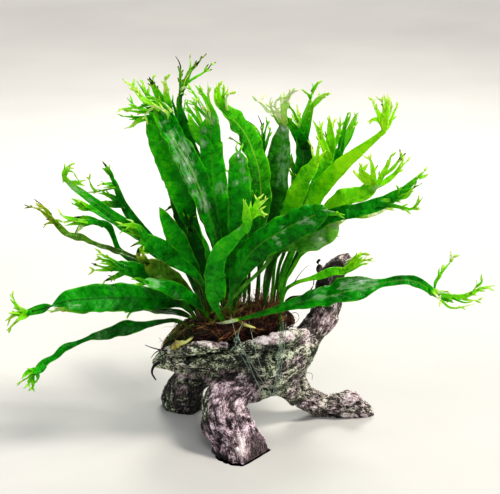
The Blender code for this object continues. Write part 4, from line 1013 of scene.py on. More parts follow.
        width="0,1.2 0.3,1.2 0.48,4.5 0.7,8.5 0.88,7.5 1,4", roll="0,-10 1,0", shade=-0.8,
        sprigs="""
    shaded 1.2 176,206 170,207 166,211
    shaded 1.6 174,200 170,193 168,186
    """),
    "back_centre": dict(route="238,307,20 234,262,31 230,222,42 228,190,52", width=9, stalk=0.3,
        roll="0,0 1,0", crest="220,174,56 228,170,58 236,174,57"),
    "back_left": dict(route="224,307,20 209,266,36 196,236,50 189,208,62", width=8.5, stalk=0.3,
        roll="0,-10 1,-10", crest="180,196,66 186,190,68 193,190,67"),
    "back_right": dict(route="257,307,17 260,262,34 263,225,48 269,196,60", width=8.5, stalk=0.3,
        roll="0,10 1,10", crest="266,180,64 273,178,66 279,184,64"),
    "back_tall": dict(route="238,306,12 246,255,20 254,212,28 258,182,34", width=9.5, stalk=0.25,
        roll="0,0 1,-10", crest="251,166,36 258,161,37 265,166,36"),
    "back_tall_left": dict(route="227,308,14 221,255,22 216,205,30 210,170,36 207,150,40", width=9,
        stalk=0.25, roll="0,0 1,10", crest="200,136,42 205,130,43 210,135,42"),
    "back_low_left": dict(route="210,307,19 202,283,42 195,262,57 190,248,71", width=8, stalk=0.25,
        roll="0,0 1,0", crest="183,242,77 188,236,79 195,238,78"),
    "back_right_far": dict(route="264,306,15 269,262,30 282,225,44 298,198,56", width=8, stalk=0.3,
        roll="0,0 1,10", crest="305,186,60 311,190,62 299,182,60"),
    "back_left_far": dict(route="219,307,20 207,276,35 195,255,50 185,240,64", width=8, stalk=0.3,
        roll="0,0 1,-10", crest="176,234,68 179,229,70 187,230,70"),
    "back_mid_high": dict(route="244,307,15 245,262,26 247,215,38 248,172,48", width=8.5, stalk=0.25,
        roll="0,0 1,10", crest="242,158,52 248,153,54 255,156,52"),
    "back_left_mid": dict(route="201,314,14 199,281,40 190,258,58 181,242,73", width=7.5, stalk=0.25,
        roll="0,10 1,0", tone="fresh", crest="173,236,78 177,229,81 185,231,80"),
    "back_low": dict(route="231,306,12 228,280,39 225,258,58 224,241,74", width=8, stalk=0.25,
        roll="0,10 1,0", tone="fresh", crest="217,232,80 224,228,82 232,232,80"),
}

leafLooks = {  # the lamina's colours from old and in painted shade to young and in painted light, and those of crest and midrib
    "green": dict(ramp=["#003a00", "#005e00", "#068204", "#1da008", "#48b60a", "#7fd012"],
                  young="#7fd416", tip="#cde86e", rib="#7fae3a"),
    "fresh": dict(ramp=["#084c00", "#1a7a00", "#38a002", "#5cbc04", "#80d208", "#a2e212"],
                  young="#9ae41a", tip="#dcee78", rib="#a8c84a"),
    "olive": dict(ramp=["#122400", "#264402", "#366206", "#4e800a", "#7aa01a", "#aaba30"],
                  young="#a0b82a", tip="#d8d870", rib="#8a8a34"),
    "pale": dict(ramp=["#0a4a04", "#247410", "#489a24", "#70b440", "#98ca68", "#bcdc90"],
                 young="#a8d65a", tip="#e6efb8", rib="#a4bc68"),
}
sprigKinds = {  # crest age at a sprig's foot and at its end, whether its end is black, and how tan it is
    "green": (0.0, 0.5, 0, 0),
    "young": (0.25, 0.85, 0, 0),
    "tip": (0.5, 1.1, 0, 0),
    # white sprigs end near white: pale young tips, partly painted glints
    "white": (0.8, 2.72, 0, 0),
    # shaded sprigs keep the blade's dark green: painted shade on fingers that fill shadowed gaps in the crest
    "shaded": (-0.3, 0.1, 0, 0),
    "paleEnd": (-0.3, 1.6, 0, 0),
    "black": (0.1, 0.7, 1, 0),
    "tan": (0.3, 0.8, 0, 0.35),
    "tanBlack": (0.2, 0.9, 1, 0.35),
}
leaf = {
    "thickness": 0.30 * mm,
    "rowStep": 1.2 * mm,
    "fold": 0.24,  # how far the margins stand over the midrib, as a share of half the width
    "ruffleMm": 1.2,  # how far the margins swing up and down
    "ruffleLengthMm": 14,
    "notch": 0.035,  # how far the margins swing in and out, as a share of half the width
    "notchLengthsMm": (9, 11),  # on the two sides
    "skyward": 0.34,  # how far a blade that runs sideways turns its face up, as a share of the whole way
    "swayMm": 0.5,  # how far the midrib strays from its route
    "swayLengthMm": 34,
    "rollSwing": 6,  # how far it rolls to and fro, in degrees
    "rollLengthMm": 60,
    "veinSpacingMm": 4.2,
    "veinSlant": 0.75,
    "quiltMm": 0.08,
    "dimpleMm": 0.34,  # unevenness of the blade between its veins
    "dimpleSizeMm": (4.2, 5.5),  # across and along
    "wingMm": 2.6,  # width of the narrow margins that run down the stalk
    "wingLengthMm": 22,
    "slimmestMm": 0.75,  # half the width where the blade begins on the stalk
    "stalkyMm": (1.4, 2.4),  # half widths between which stalk colour gives way to green
    "brownLengthMm": 17,
    "stalkRadiusMm": 0.72,
    "stalkDepthMm": 3,  # how far a stalk goes on into the roots
    "crestAge": 0.22,  # how young the blade's end is, where its fingers start
    "paleAge": 1.5,  # the age of stalks whose foot is pale
    "paintedSheenReach": 0.68 * mm,  # how far a pixel of a sheen patch's reach goes
}
finger = {
    "halfMm": 0.75,  # half the width near its foot
    "slimmer": (1.0, 0.78, 0.6),  # the widths of a finger, its forks and theirs
    "finestFork": 2,  # a finger forks this often
    "forkChance": 0.88,
    "forkAt": (0.5, 0.76),  # where along it, as a share
    "forkLean": (0.4, 0.95),  # how far the side half leans away, in radians
    "shortestForkMm": 2.6,
    "samples": 60,
    "rowMm": 0.8,
    "sizes": (0.75, 1.3),
    "twist": 0.9,
    "channel": 0.4,  # how far the margins stand over the middle, as a share of half the width
    "blackTips": 0.12,  # the share of ends that are black
    "twigEveryMm": 3.4,  # how far apart small side points stand
    "twigHalfMm": 0.52,
    "twigMm": (1.3, 3.4),
    "twigLean": (0.5, 1.0),
    "footSpread": 1.6,  # how much wider a slim sprig is where it leaves the blade
    "sprigSize": 1.25,
    "sprigDrift": 0.22,  # how far in mm a sprig comes forward or goes back over a pixel, at most
    "sprigAnchors": 120,  # places on the midrib that a sprig may start from
}


def makeLeaf(tone, look):
    # fern lamina, grown and wet: soft green with paler veins, a lit-through glow, painted shade and light
    # from the shade attribute, and whitish patches of painted sheen where the wet blade would reflect light.
    # Scales are per metre for coords, and per mm for places on the blade
    material, add = newMaterial("wetFernLamina_" + tone)
    step = "MapRange SMOOTHSTEP"  # from one range to another, smoothly and with no overshoot
    coords = add("TexCoord", out="Object")
    across, along, sideways = add("SeparateXYZ", add("Attribute piecePlace", out="Vector"), out=slice(3))
    crest, black, browned = add("SeparateXYZ", add("Attribute pieceAge", out="Vector"), out=slice(3))
    shade, paintedSheen, ribTone = add("SeparateXYZ", add("Attribute pieceHabit", out="Vector"), out=slice(3))
    cloud = add("TexNoise", coords, Scale=85, Detail=4)  # slow changes, 12 mm
    mottle = add("TexNoise", coords, Scale=300, Detail=4, Roughness=0.6)  # patches of 3.3 mm
    speck = add("TexNoise", coords, Scale=800, Detail=3)  # specks of 1.2 mm
    stain = add("TexNoise", coords, Scale=140, Detail=2)  # stretches of margin, 7 mm

    acrossMm = add("Math ABSOLUTE", across)
    # lateral veins leave the midrib at a slant, one every few millimetres, a little unevenly
    slanted = add("Math SUBTRACT", along, add("Math MULTIPLY", acrossMm, leaf["veinSlant"]))
    slanted = add("Math ADD", slanted, add("Math MULTIPLY", cloud, 3.0))
    swell = add("Math COSINE", add("Math MULTIPLY", slanted, math.tau / leaf["veinSpacingMm"]))
    vein = add("Math MULTIPLY", add(step, swell, 0.86, 1.0), add(step, acrossMm, 0.5, 1.0))
    # the finest net of veins: cell walls about 1.2 mm apart
    net = add("TexVoronoi DISTANCE_TO_EDGE", add("CombineXYZ", across, along), Scale=0.85)
    wall = add(step, net, 0.0, 0.16, 1.0, 0.0)

    # lightness follows the shade attribute: partly the frond's own tone, partly painted shade and painted
    # light
    lightness = add("Math ADD", add("Math MULTIPLY", shade, 0.5), 0.49)
    for pattern, swing in ((cloud, 0.13), (mottle, 0.11), (speck, 0.05)):
        lightness = add("Math ADD", lightness, add(step, pattern, 0.3, 0.7, -swing, swing))
    for line, depth in ((vein, 0.11), (wall, 0.04)):
        lightness = add("Math SUBTRACT", lightness, add("Math MULTIPLY", line, depth))
    body = add("ValToRGB", lightness, stops=[(0.2 * i, colour) for i, colour in enumerate(look["ramp"])])
    rib = add(step, acrossMm, 0.2, 0.5, 1.0, 0.0)
    # a paler margin: partly the blade's own colour and partly painted highlight along its edges
    margin = add(step, add("Math ABSOLUTE", sideways), 0.88, 0.98, 0.0, 0.3)
    streak = add(step, speck, 0.44, 0.60, 0.35, 1.0)
    # painted sheen: whitish patches, broken up by noise, where the wet blade would reflect light
    sheenNoise = add("CombineXYZ", across, add("Math MULTIPLY", along, 0.22))
    sheenNoise = add("TexNoise", sheenNoise, Scale=0.55, Detail=7, Roughness=0.72)
    sheenCover = add("Math MULTIPLY", paintedSheen, add(step, sheenNoise, 0.34, 0.66, 0.0, 2.0))
    layers = [  # what covers the blade's green, one after the other: how much of each, and its colour
        (add("Math MULTIPLY", rib, add(step, ribTone, 0, 1)), look["rib"]),
        (add("Math MULTIPLY", rib, add(step, ribTone, 0, -1)), "#042000"),
        (add("Math MULTIPLY", margin, add(step, stain, 0.42, 0.58, 0.25, 1.0)), look["young"]),
        (add(step, crest, 0.0, 0.6, 0, 0.95), look["young"]),
        (add("Math MULTIPLY", add(step, crest, 0.55, 1.0), streak), look["tip"]),
        # near white ends of the crest: pale young tips, partly painted glints
        (add("Math MULTIPLY", add(step, crest, 1.0, 1.5), streak), "#eef4dc"),
        (add(step, sheenCover, 0.2, 0.62, 0.0, 0.5), "#94b08d"),  # painted sheen, in three strengths
        (add(step, sheenCover, 0.85, 1.25, 0.0, 0.34), "#cfdfce"),
        (add(step, sheenCover, 1.2, 1.7), "#eef7f0"),
        (browned, "#5a4c1c"),
        (black, "#120d08"),
    ]
    for share, colour in layers:
        body = add("Mix RGBA", share, body, colour)
    relief = 0.0
    for pattern, height in ((vein, -0.5), (swell, -0.25), (wall, -0.16), (mottle, 3.2), (speck, 0.5)):
        relief = add("Math ADD", relief, add("Math MULTIPLY", pattern, height))
    bump = add("Bump", Height=relief, Strength=0.75, Distance=0.26 * mm)
    return dressed(material, {
        "Base Color": body,
        "Roughness": add(step, mottle, 0.35, 0.7, 0.22, 0.45),
        "Normal": bump,
        "Coat Normal": bump,
        "Subsurface Weight": 0.25,
        "Subsurface Radius": (0.25, 1.0, 0.03),
        "Subsurface Scale": 1.2 * mm,
        "IOR": 1.38,
        "Specular IOR Level": 0.1,
        "Coat Weight": 0.4,
        "Coat Roughness": 0.12,
        "Coat IOR": 1.25,
    })


def bladeHalfWidth(spec, share):
    # half the blade's width along the route: straight lines through its knots, rounded by a running mean
    width = spec["width"]
    if isinstance(width, str):
        knots = rows(width)
    else:
        stalk, blade = spec["stalk"], 1 - spec["stalk"]
        outline = ((0.12, 0.42), (0.3, 0.9), (0.52, 1), (0.78, 0.8))  # shares of its length and width
        knots = [(stalk + at * blade, part * width) for at, part in outline]
        knots = np.array([(0, 1.0), (stalk, 1.0), *knots, (1, 0.42 * width)])
    fine = np.linspace(-0.2, 1.2, 561)
    kernel = np.hanning(33)
    wide = np.convolve(np.interp(fine, *knots.T), kernel / kernel.sum(), mode="same")
    return np.interp(share, fine, wide) * mm / 2


def growTwig(sheets, path, half, face, place, age):
    # a free ribbon, channelled along its middle, for side points that start inside the ribbon they stand on
    across = unit(np.cross(headings(path), face))
    u = np.array([-1, 0, 1.0])
    grid = path[:, None] + across[:, None] * (half[:, None] * u)[..., None]
    grid = grid + (face * half[:, None] * finger["channel"])[:, None] * (u**2)[:, None]
    addGrid(sheets, grid, np.broadcast_to(place, grid.shape), np.zeros_like(grid) + age)


def growFinger(sheets, edge, edgePlace, ahead, face, route, level, rng, look, crest):
    # a ribbon that leaves the given edge points along its route, narrows, carries small side points, and
    # then forks: one half goes on along the route and the other leans away; half the width at an end is
    # (1 - share^2.2)^0.8 of the rest's, and some ends are black
    columns = len(edge) - 1
    middle = edge.mean(axis=0)
    first = np.linalg.norm(route[0] - middle)
    if len(route) == 1:
        curl = face * rng.uniform(-0.2, 0.2) + np.cross(ahead, face) * rng.uniform(-0.15, 0.15)
        route = np.vstack([middle + ahead * first * 0.3 + (route[0] - middle) * 0.3 + curl * first, route])
    dense, reach = smoothPath(np.vstack([middle, middle + ahead * first * 0.12, route]), finger["samples"])
    forks = level < finger["finestFork"] and columns >= 2 and reach > finger["shortestForkMm"] * mm
    forks = forks and rng.random() < finger["forkChance"]
    stop = rng.uniform(*finger["forkAt"]) if forks else 1.0
    count = max(4, int(reach * stop / (finger["rowMm"] * mm))) + 1
    t = np.linspace(0, stop, count)
    path = readTable(t, np.linspace(0, 1, len(dense)), dense)
    travel = headings(path)
    twist = rng.uniform(-finger["twist"], finger["twist"])
    across, facing = turned(unit(np.cross(travel, face)), travel, twist * t)
    startHalf = np.linalg.norm(edge[-1] - edge[0]) / 2
    wide = finger["slimmer"][min(level, 2)] * look["halfMm"] * rng.uniform(*finger["sizes"]) * mm
    share = t / stop
    half = startHalf + (wide - startHalf) * smoothstep(0, 0.4, share)
    half = half * (1 - 0.3 * share)
    if forks:
        half = half * (1 + 0.55 * smoothstep(0.7, 1, share))
    else:
        half = np.maximum(half * (1 - share**2.2) ** 0.8, 0.05 * mm)
    u = np.linspace(-1, 1, columns + 1)
    ribbon = path[:, None] + across[:, None] * (half[:, None] * u)[..., None]
    ribbon = ribbon + facing[:, None] * (half[:, None] * finger["channel"] * (u**2 - 0.4))[..., None]
    settle = smoothstep(0, 0.5, share)[:, None, None]
    grid = (edge - middle + path[:, None]) * (1 - settle) + ribbon * settle
    grid[0] = edge
    age = np.zeros_like(grid)
    age[..., 0] = (crest[0] + (crest[1] - crest[0]) * t * (0.7 if forks else 1.0))[:, None]
    age[..., 2] = look["tan"]
    if not forks and rng.random() < look["blackTips"]:
        age[..., 1] = smoothstep(0.62, 0.85, t)[:, None]
    place = np.repeat(edgePlace[None], count, axis=0)
    place[..., 0] = place[..., 0] * (1 - settle[..., 0]) + 3.0 * settle[..., 0]
    place[..., 1] += (t * reach / mm)[:, None]
    addGrid(sheets, grid, place, age)

    side = rng.choice([-1.0, 1.0])
    for _ in range(int(rng.uniform(0.3, 1.1) * reach * stop / (finger["twigEveryMm"] * mm))):
        side = -side
        i = int(count * rng.uniform(0.45, 0.95))
        lean = rng.uniform(*finger["twigLean"]) * side
        way = travel[i] * math.cos(lean) + across[i] * math.sin(lean) + facing[i] * rng.uniform(-0.35, 0.35)
        way = unit(way)
        long = rng.uniform(*finger["twigMm"]) * mm
        s = np.linspace(0, 1, 6)[:, None]
        twig = path[i] + (way * s + (travel[i] + facing[i] * rng.uniform(-0.5, 0.5)) * 0.35 * s**2) * long
        slim = finger["twigHalfMm"] * mm * (1 - s[:, 0] ** 2) ** 0.7 + 0.04 * mm
        leaning = unit(facing[i] + across[i] * rng.uniform(0.4, 0.9) * rng.choice([-1, 1]))
        black = smoothstep(0.5, 0.9, s) if rng.random() < look["blackTips"] else 0 * s
        ages = np.stack([np.minimum(1, age[i, 0, 0] + 0.5 * s), black, age[i, 0, 2] + 0 * s], axis=-1)
        growTwig(sheets, twig, slim, np.repeat(leaning[None], 6, axis=0), place[i, 0], ages)
    if not forks:
        return
    goesOn = rng.choice([-1, 1])
    for side, part in ((-1, slice(0, columns // 2 + 1)), (1, slice(columns // 2, columns + 1))):
        if side == goesOn:
            goal = dense[[int((len(dense) - 1) * (stop + 0.5 * (1 - stop))), -1]]
        else:
            lean = rng.uniform(*finger["forkLean"]) * side
            way = travel[-1] * math.cos(lean) + across[-1] * math.sin(lean)
            way = unit(way + facing[-1] * rng.uniform(-0.4, 0.4))
            goal = path[-1:] + way * max(reach * (1 - stop), 2 * mm) * rng.uniform(0.55, 1.0)
        growFinger(sheets, grid[-1, part], place[-1, part], travel[-1], facing[-1], goal, level + 1, rng,
                   look, (float(age[-1, 0, 0]), crest[1]))


def growSprigs(sheets, spec, half, lastMm, rng):
    # the traced fingers of a crest: each starts on the midrib or on an earlier sprig, at the depth there
    ribAnchors = finger["sprigAnchors"]
    anchors, _ = smoothPath(rows(spec["route"]), ribAnchors)  # px, py, depth
    for line in spec.get("sprigs", "").strip().splitlines():
        kind, halfMm, spots = line.split(maxsplit=2)
        crestFrom, crestTo, black, tan = sprigKinds[kind]
        halfMm, spots = float(halfMm), rows(spots)
        nearest = np.argmin(np.linalg.norm(anchors[:, :2] - spots[0], axis=1))
        depth = anchors[nearest, 2]
        spread = 1.0
        onBlade = nearest < ribAnchors
        if onBlade:
            depth = depth - 0.7
            spots = np.vstack([0.5 * spots[0] + 0.5 * anchors[max(nearest - 9, 0), :2], spots])
            room = max(0.8 * half[int(nearest / ribAnchors * len(half))] / mm, 0.7) / halfMm
            spread = min(finger["footSpread"], 1 + 0.5 / halfMm, room)
            crestFrom = -0.2
        drift = rng.uniform(-finger["sprigDrift"], finger["sprigDrift"])
        places = np.column_stack([spots, depth + drift * travelled(spots)])
        traced, _ = smoothPath(places, 24)
        anchors = np.vstack([anchors, traced])
        points = seenPoint(places)
        way = unit(points[1] - points[0])
        facing = unit(toViewer + rng.normal(0, 0.4, 3))
        facing = unit(facing - way * (facing @ way))
        edge = points[0] + np.outer(np.linspace(-1, 1, 5), np.cross(way, facing)) * halfMm * spread * mm
        look = dict(halfMm=halfMm * finger["sprigSize"] / finger["slimmer"][-1], blackTips=black, tan=tan)
        growFinger(sheets, edge, np.repeat([[3.0, lastMm, 0.5]], 5, axis=0), way, facing, points[1:],
                   finger["finestFork"], rng, look, (crestFrom, crestTo))


def paintedSheenOn(points, spec, route):
    # whitish painted sheen on each point, where the wet blade would reflect light: middle, reach and strength
    # of each patch, in the picture
    paintedSheen = np.zeros(len(points))
    for px, py, reachPx, strength in rows(spec.get("paintedSheen", "")):
        middle = route[np.argmin(np.linalg.norm(rows(spec["route"])[:, :2] - (px, py), axis=1))]
        spot = seenPoint((px, py, (middle[1] - view["target"][1]) / mm))
        away = np.linalg.norm(points - spot, axis=1) / (reachPx * leaf["paintedSheenReach"])
        paintedSheen = np.maximum(paintedSheen, strength * (1 - smoothstep(0.0, 1.0, away)))
    return paintedSheen


def buildFrond(key, spec, ground, materials, seed):
    # one frond: the sheet of blade and fingers gets its thickness, then a tapering tube as stalk and midrib
    rng = np.random.default_rng(seed)
    route = seenPoint(rows(spec["route"]))
    back = unit(route[0] - route[1])
    hit = ground.ray_cast(Vector(route[1]), Vector(back))[0]
    if hit:
        route[0] = np.array(hit)
    count = int(np.linalg.norm(np.diff(route, axis=0), axis=1).sum() / leaf["rowStep"]) + 1
    path, length = smoothPath(route, count)
    share = np.linspace(0, 1, count)
    along = share * length / mm
    ahead = headings(path)
    across = unit(np.cross(ahead, toViewer))
    face = np.cross(across, ahead)
    upright = np.arctan2(across[:, 2], face[:, 2]) * np.linalg.norm(ahead[:, :2], axis=1)
    lifted = np.clip(leaf["skyward"] * upright, -0.5, 0.5) * smoothstep(0.1, 0.4, share)
    lifted = lifted * spec.get("skyward", 1)
    swing = leaf["rollSwing"] * wave(along, leaf["rollLengthMm"], rng)
    roll = np.radians(np.interp(share, *rows(spec["roll"]).T) + swing)
    roll = roll + (1 - smoothstep(0.1, 0.3, share)) * rng.uniform(-0.7, 0.7)
    across, face = turned(across, ahead, roll + lifted)
    sway = leaf["swayMm"] * mm * wave(along, leaf["swayLengthMm"], rng) * smoothstep(0.2, 0.5, share)
    path = path + face * sway[:, None]
    half = bladeHalfWidth(spec, share) / np.cos(lifted)
    wing = spec.get("wingMm", leaf["wingMm"] * rng.uniform(0.7, 1.25)) * mm / 2
    wing = wing * (0.85 + 0.15 * wave(along, leaf["wingLengthMm"], rng))
    half = np.maximum(half, wing * smoothstep(0.02, 0.12, share) * (1 - smoothstep(0.75, 0.85, share)))
    crest = rows(spec.get("crest", ""))
    half = np.maximum(half, smoothstep(0.93, 1, share) * len(crest) * 0.5 * mm)
    if not len(crest):
        half = half * np.sqrt(np.clip(1 - np.clip((share - 0.95) / 0.05, 0, 1) ** 2, 0.01, 1))

    # the blade: v runs from one margin to the other, and s along it in mm
    first = int(np.argmax(half > leaf["slimmestMm"] * mm))
    perFinger = 8 if len(crest) <= 2 else 4
    v = np.linspace(-1, 1, max(len(crest), 1) * perFinger + 1)
    s, w, f = along[first:, None], half[first:, None], face[first:]
    ruffle = spec.get("ruffle", 1) * leaf["ruffleMm"] * mm
    swing = np.where(v < 0, *(wave(s, leaf["ruffleLengthMm"] * longer, rng) for longer in (0.9, 1.1)))
    notch = np.where(v < 0, *(wave(s, lengthMm, rng) for lengthMm in leaf["notchLengthsMm"]))
    size = np.clip(w / (4 * mm), 0, 1.3)
    lift = spec.get("fold", 1) * leaf["fold"] * w * (np.sqrt(v**2 + 0.02) - 0.14)
    lift = lift + ruffle * size * swing * np.abs(v) ** 2.2
    veins = np.cos(math.tau * (s - leaf["veinSlant"] * np.abs(v) * w / mm) / leaf["veinSpacingMm"])
    lift = lift - leaf["quiltMm"] * mm * size * veins * np.abs(v) ** 0.6 * (1 - v**4)
    acrossMm, alongMm = leaf["dimpleSizeMm"]
    flat = np.stack(np.broadcast_arrays(v * w / (acrossMm * mm), s / alongMm, seed * 7.3), axis=-1)
    dimple = spec.get("dimple", 1) * leaf["dimpleMm"] * mm
    lift = lift + dimple * size * cloudNoise(flat, 17) * np.minimum(1, 2 * np.abs(v))
    sideways = v * w * (1 + leaf["notch"] * notch * np.abs(v))
    grid = path[first:, None] + across[first:, None] * sideways[..., None] + f[:, None] * lift[..., None]
    place = np.stack(np.broadcast_arrays(sideways / mm, s, v), axis=-1)
    foot = spec.get("paleFootMm", 0.01)
    end = share[first:, None]
    age = np.zeros_like(grid)
    age[..., 0] = spec.get("old", leaf["crestAge"]) * smoothstep(0.86, 1, end)
    age[..., 0] = np.maximum(age[..., 0], leaf["paleAge"] * (1 - smoothstep(0.8 * foot, foot, s)))
    stalky = 1 - smoothstep(*leaf["stalkyMm"], w / mm)
    age[..., 2] = stalky * smoothstep(0.4, 1, np.abs(v)) * rng.uniform(0.2, 0.9)
    age[..., 2] *= (0.6 + 0.4 * wave(s, leaf["brownLengthMm"], rng)) * (1 - smoothstep(0.5, 0.6, end))
    sheets = newSheets()
    addGrid(sheets, grid, place, age)

    tips = [seenPoint(tip[None]) for tip in crest]
    lean = [math.atan2((tip[0] - path[-1]) @ across[-1], (tip[0] - path[-1]) @ ahead[-1]) for tip in tips]
    look = dict(halfMm=finger["halfMm"], blackTips=finger["blackTips"], tan=0)
    for k, i in enumerate(np.argsort(lean)):
        part = slice(k * perFinger, (k + 1) * perFinger + 1)
        growFinger(sheets, grid[-1, part], place[-1, part], ahead[-1], face[-1], tips[i], 0, rng, look,
                   (leaf["crestAge"], 1.0))
    growSprigs(sheets, spec, half, along[-1], rng)
    sheet = meshOf(key, sheets, weld=True)
    thick = modified(sheet, ("SOLIDIFY", dict(thickness=leaf["thickness"], offset=0)))

    # the stalk and the midrib, behind the blade
    stalkShare = np.append(0, share[:-2:2])
    stalkMm = stalkShare * length / mm
    stalkPath = np.vstack([path[0] + back * leaf["stalkDepthMm"] * mm, path[:-2:2]])
    backset = np.minimum(np.append(0, half[:-2:2]), 0.2 * mm)
    stalkPath = stalkPath - np.vstack([face[:1], face[:-2:2]]) * backset[:, None]
    radius = leaf["stalkRadiusMm"] * mm * rng.uniform(0.8, 1.15) * (1 - 0.8 * stalkShare**0.8)
    rings = tubeRings(stalkPath, radius, 8)
    age, place = np.zeros((2, *rings.shape))
    browned = spec.get("browned", rng.uniform(0.2, 0.9))
    age[..., 2] = (browned * (1 - smoothstep(0, rng.uniform(8, 26), stalkMm)))[:, None]
    age[..., 0] = (leaf["paleAge"] * (1 - smoothstep(0.8 * foot, foot, stalkMm)))[:, None]
    place[..., 0] = 2.0 * (1 - smoothstep(0.3, 0.6, stalkShare))[:, None]
    place[..., 1] = stalkMm[:, None]
    stalk = newSheets()
    addGrid(stalk, rings, place, age, closed=True, poles=True)
    whole = bmesh.new()
    whole.from_mesh(thick)
    whole.from_mesh(meshOf(key + "_stalk", stalk))
    bmesh.ops.recalc_face_normals(whole, faces=whole.faces)
    mesh = bpy.data.meshes.new(key)
    whole.to_mesh(mesh)
    whole.free()

    points = readVectors(mesh.vertices, "co")
    nearest, _ = nearestPlaces(points, path)
    # shade along the frond: its own tone and painted shade, darker towards the mat; one half of the blade is
    # painted lighter
    shades = spec.get("shade", rng.uniform(-0.25, 0.25))
    if isinstance(shades, str):
        shades = rows(shades)
    else:
        shades = np.array([(0, shades - 0.5), (0.35, shades - 0.15), (1, shades + 0.1)])
    placed = readVectors(mesh.attributes["piecePlace"].data, "vector")
    shade = np.interp(share[nearest], *shades.T) + spec.get("paintedHalfLight", 0.08) * placed[:, 2]
    rib = np.full(len(points), spec.get("rib", 0.1))
    pointLayer(mesh, "pieceHabit", np.stack([shade, paintedSheenOn(points, spec, route), rib], axis=1))
    tone = spec.get("tone", "green")
    return addPiece(key + "_leaf", mesh, materials[tone], ["frond_" + key])


# the root mat, the creeping stems and the line
rootMat = {
    "seed": 6,
    "stations": ("163,351,-6,2.5,7 176,343,-5,5.2,13 194,334,-3,7.2,17 216,329,-1,8.4,19 240,326,1,8.8,19 "
                 "262,322,3,8.8,16 280,320,5,6.8,12 294,323,6,2.8,6"),
    "coreRings": 110,
    "coreSides": 90,
    "fibres": 1430,
    "fibreRadiusMm": 0.17,
    "fibreRunMm": 8,  # how far a fibre runs along the mat
    "fibreTurn": 0.55,  # how far it runs round the mat, in radians
    "proudMm": 0.9,  # how far it bows out
    "strayFibres": 190,
    "strayMm": (2.5, 8),
    "strandRows": 9,  # rings along every strand
    "strayRadiusMm": (0.1, 0.17),
    "tuftRadiusMm": (0.12, 0.24),
}
tufts = {  # roots that stand up: the middle of their feet, how far they spread and rise, and their looks
    "red tuft": dict(foot=(265, 318, -7), sizeMm=(9, 6, 1.5), heightMm=17, count=520, shade=0.2, moss=0),
    "back tuft": dict(foot=(246, 314, 1), sizeMm=(10, 6, 1.5), heightMm=13, count=300, shade=0.1, moss=0.1),
    "stalk bases": dict(foot=(232, 318, -10), sizeMm=(9, 5, 1.5), heightMm=12, count=220, shade=0.45,
                       moss=0.4),
    "left moss": dict(foot=(190, 332, -8), sizeMm=(12, 9, 2.5), heightMm=5, count=240, shade=0.1,
                     moss=0.55),
    "right edge": dict(foot=(280, 321, -4), sizeMm=(5, 6, 1.5), heightMm=6, count=140, shade=0.1, moss=0),
    "stalk feet": dict(foot=(257, 307, 2), sizeMm=(10, 5, 1.5), heightMm=11, count=200, shade=-0.05,
                      moss=0.15),
}
looseRoots = {  # roots that stand out of the mat: px,py,depth in mm along each, and its radius
    "left long": dict(route="172,351,-16 162,350,-20 153,348,-22 145,345,-23", radiusMm=0.5),
    "left fork": dict(route="160,350,-20 155,353,-22 151,358,-23", radiusMm=0.35),
    "left low": dict(route="168,353,-16 161,356,-19 156,361,-20 153,362,-21", radiusMm=0.3),
    "dark flap": dict(route="160,362,-14 154,366,-15 152,373,-15 156,380,-15", radiusMm=0.9),
    "right curl": dict(route="286,322,-9 291,314,-13 297,313,-15 299,319,-16 294,324,-15", radiusMm=0.25),
    "right curl low": dict(route="288,326,-10 296,327,-15 303,324,-15 306,317,-14", radiusMm=0.22),
    "dry stalk": dict(route="294,283,1 299,275,0 304,269,0 309,265,0", radiusMm=0.25),
    "dry stalk low": dict(route="286,301,-5 292,297,-7 301,296,-8 308,293,-8 313,286,-6 314,279,-4",
        radiusMm=0.65),
    "hair loop": dict(route="301,379,2 306,373,-2 312,374,-2 312,380,-1", radiusMm=0.2),
}


def matPoint(table, s, a, raised=0.0):
    # s runs along the mat and a round it: centre + across * cos a * half width + outward * sin a * half
    # depth, scaled by sqrt(1 - |2s - 1|^6) so that the ends close; raised lifts a point off the surface
    row = readTable(np.clip(s, 0, 1) * (len(table) - 1), np.arange(len(table)), table)
    taper = np.sqrt(np.clip(1 - np.abs(2 * s - 1) ** 6, 0.0004, 1))[..., None]
    across, outward = row[..., 5:8], row[..., 8:11]
    way = across * (np.cos(a)[..., None] * row[..., 3:4]) + outward * (np.sin(a)[..., None] * row[..., 4:5])
    centre = row[..., :3]
    lump = cloudNoise((centre + way) / (wood["cloudMm"] * mm), rootMat["seed"])[..., None]
    point = centre + way * taper * (1 + 0.2 * lump)
    return point + unit(way) * np.asarray(raised)[..., None]


def makeRoots():
    # matted root hairs: dull dark red-brown, each strand a slightly different brown, some of them mossy
    material, add = newMaterial("mattedRoots")
    coords = add("TexCoord", out="Object")
    shade, moss = add("SeparateXYZ", add("Attribute pieceAge", out="Vector"), out=slice(2))
    total = add("Math ADD", shade, add("TexNoise", coords, Scale=160, Detail=4))  # clumps of 6 mm
    brown = add("ValToRGB", total, stops=[
        (0.28, "#060202"), (0.52, "#1e0b07"), (0.72, "#4c2318"), (0.86, "#8a5030"), (1.0, "#bd9a50")])
    fuzz = add("TexNoise", coords, Scale=1500, Detail=3)  # root hairs, 0.7 mm apart
    return dressed(material, {
        "Base Color": add("Mix RGBA", moss, brown, "#6aa01e"),
        "Normal": add("Bump", Height=fuzz, Distance=0.3 * mm),
        "Roughness": 0.75,
        "IOR": 1.45,
    })


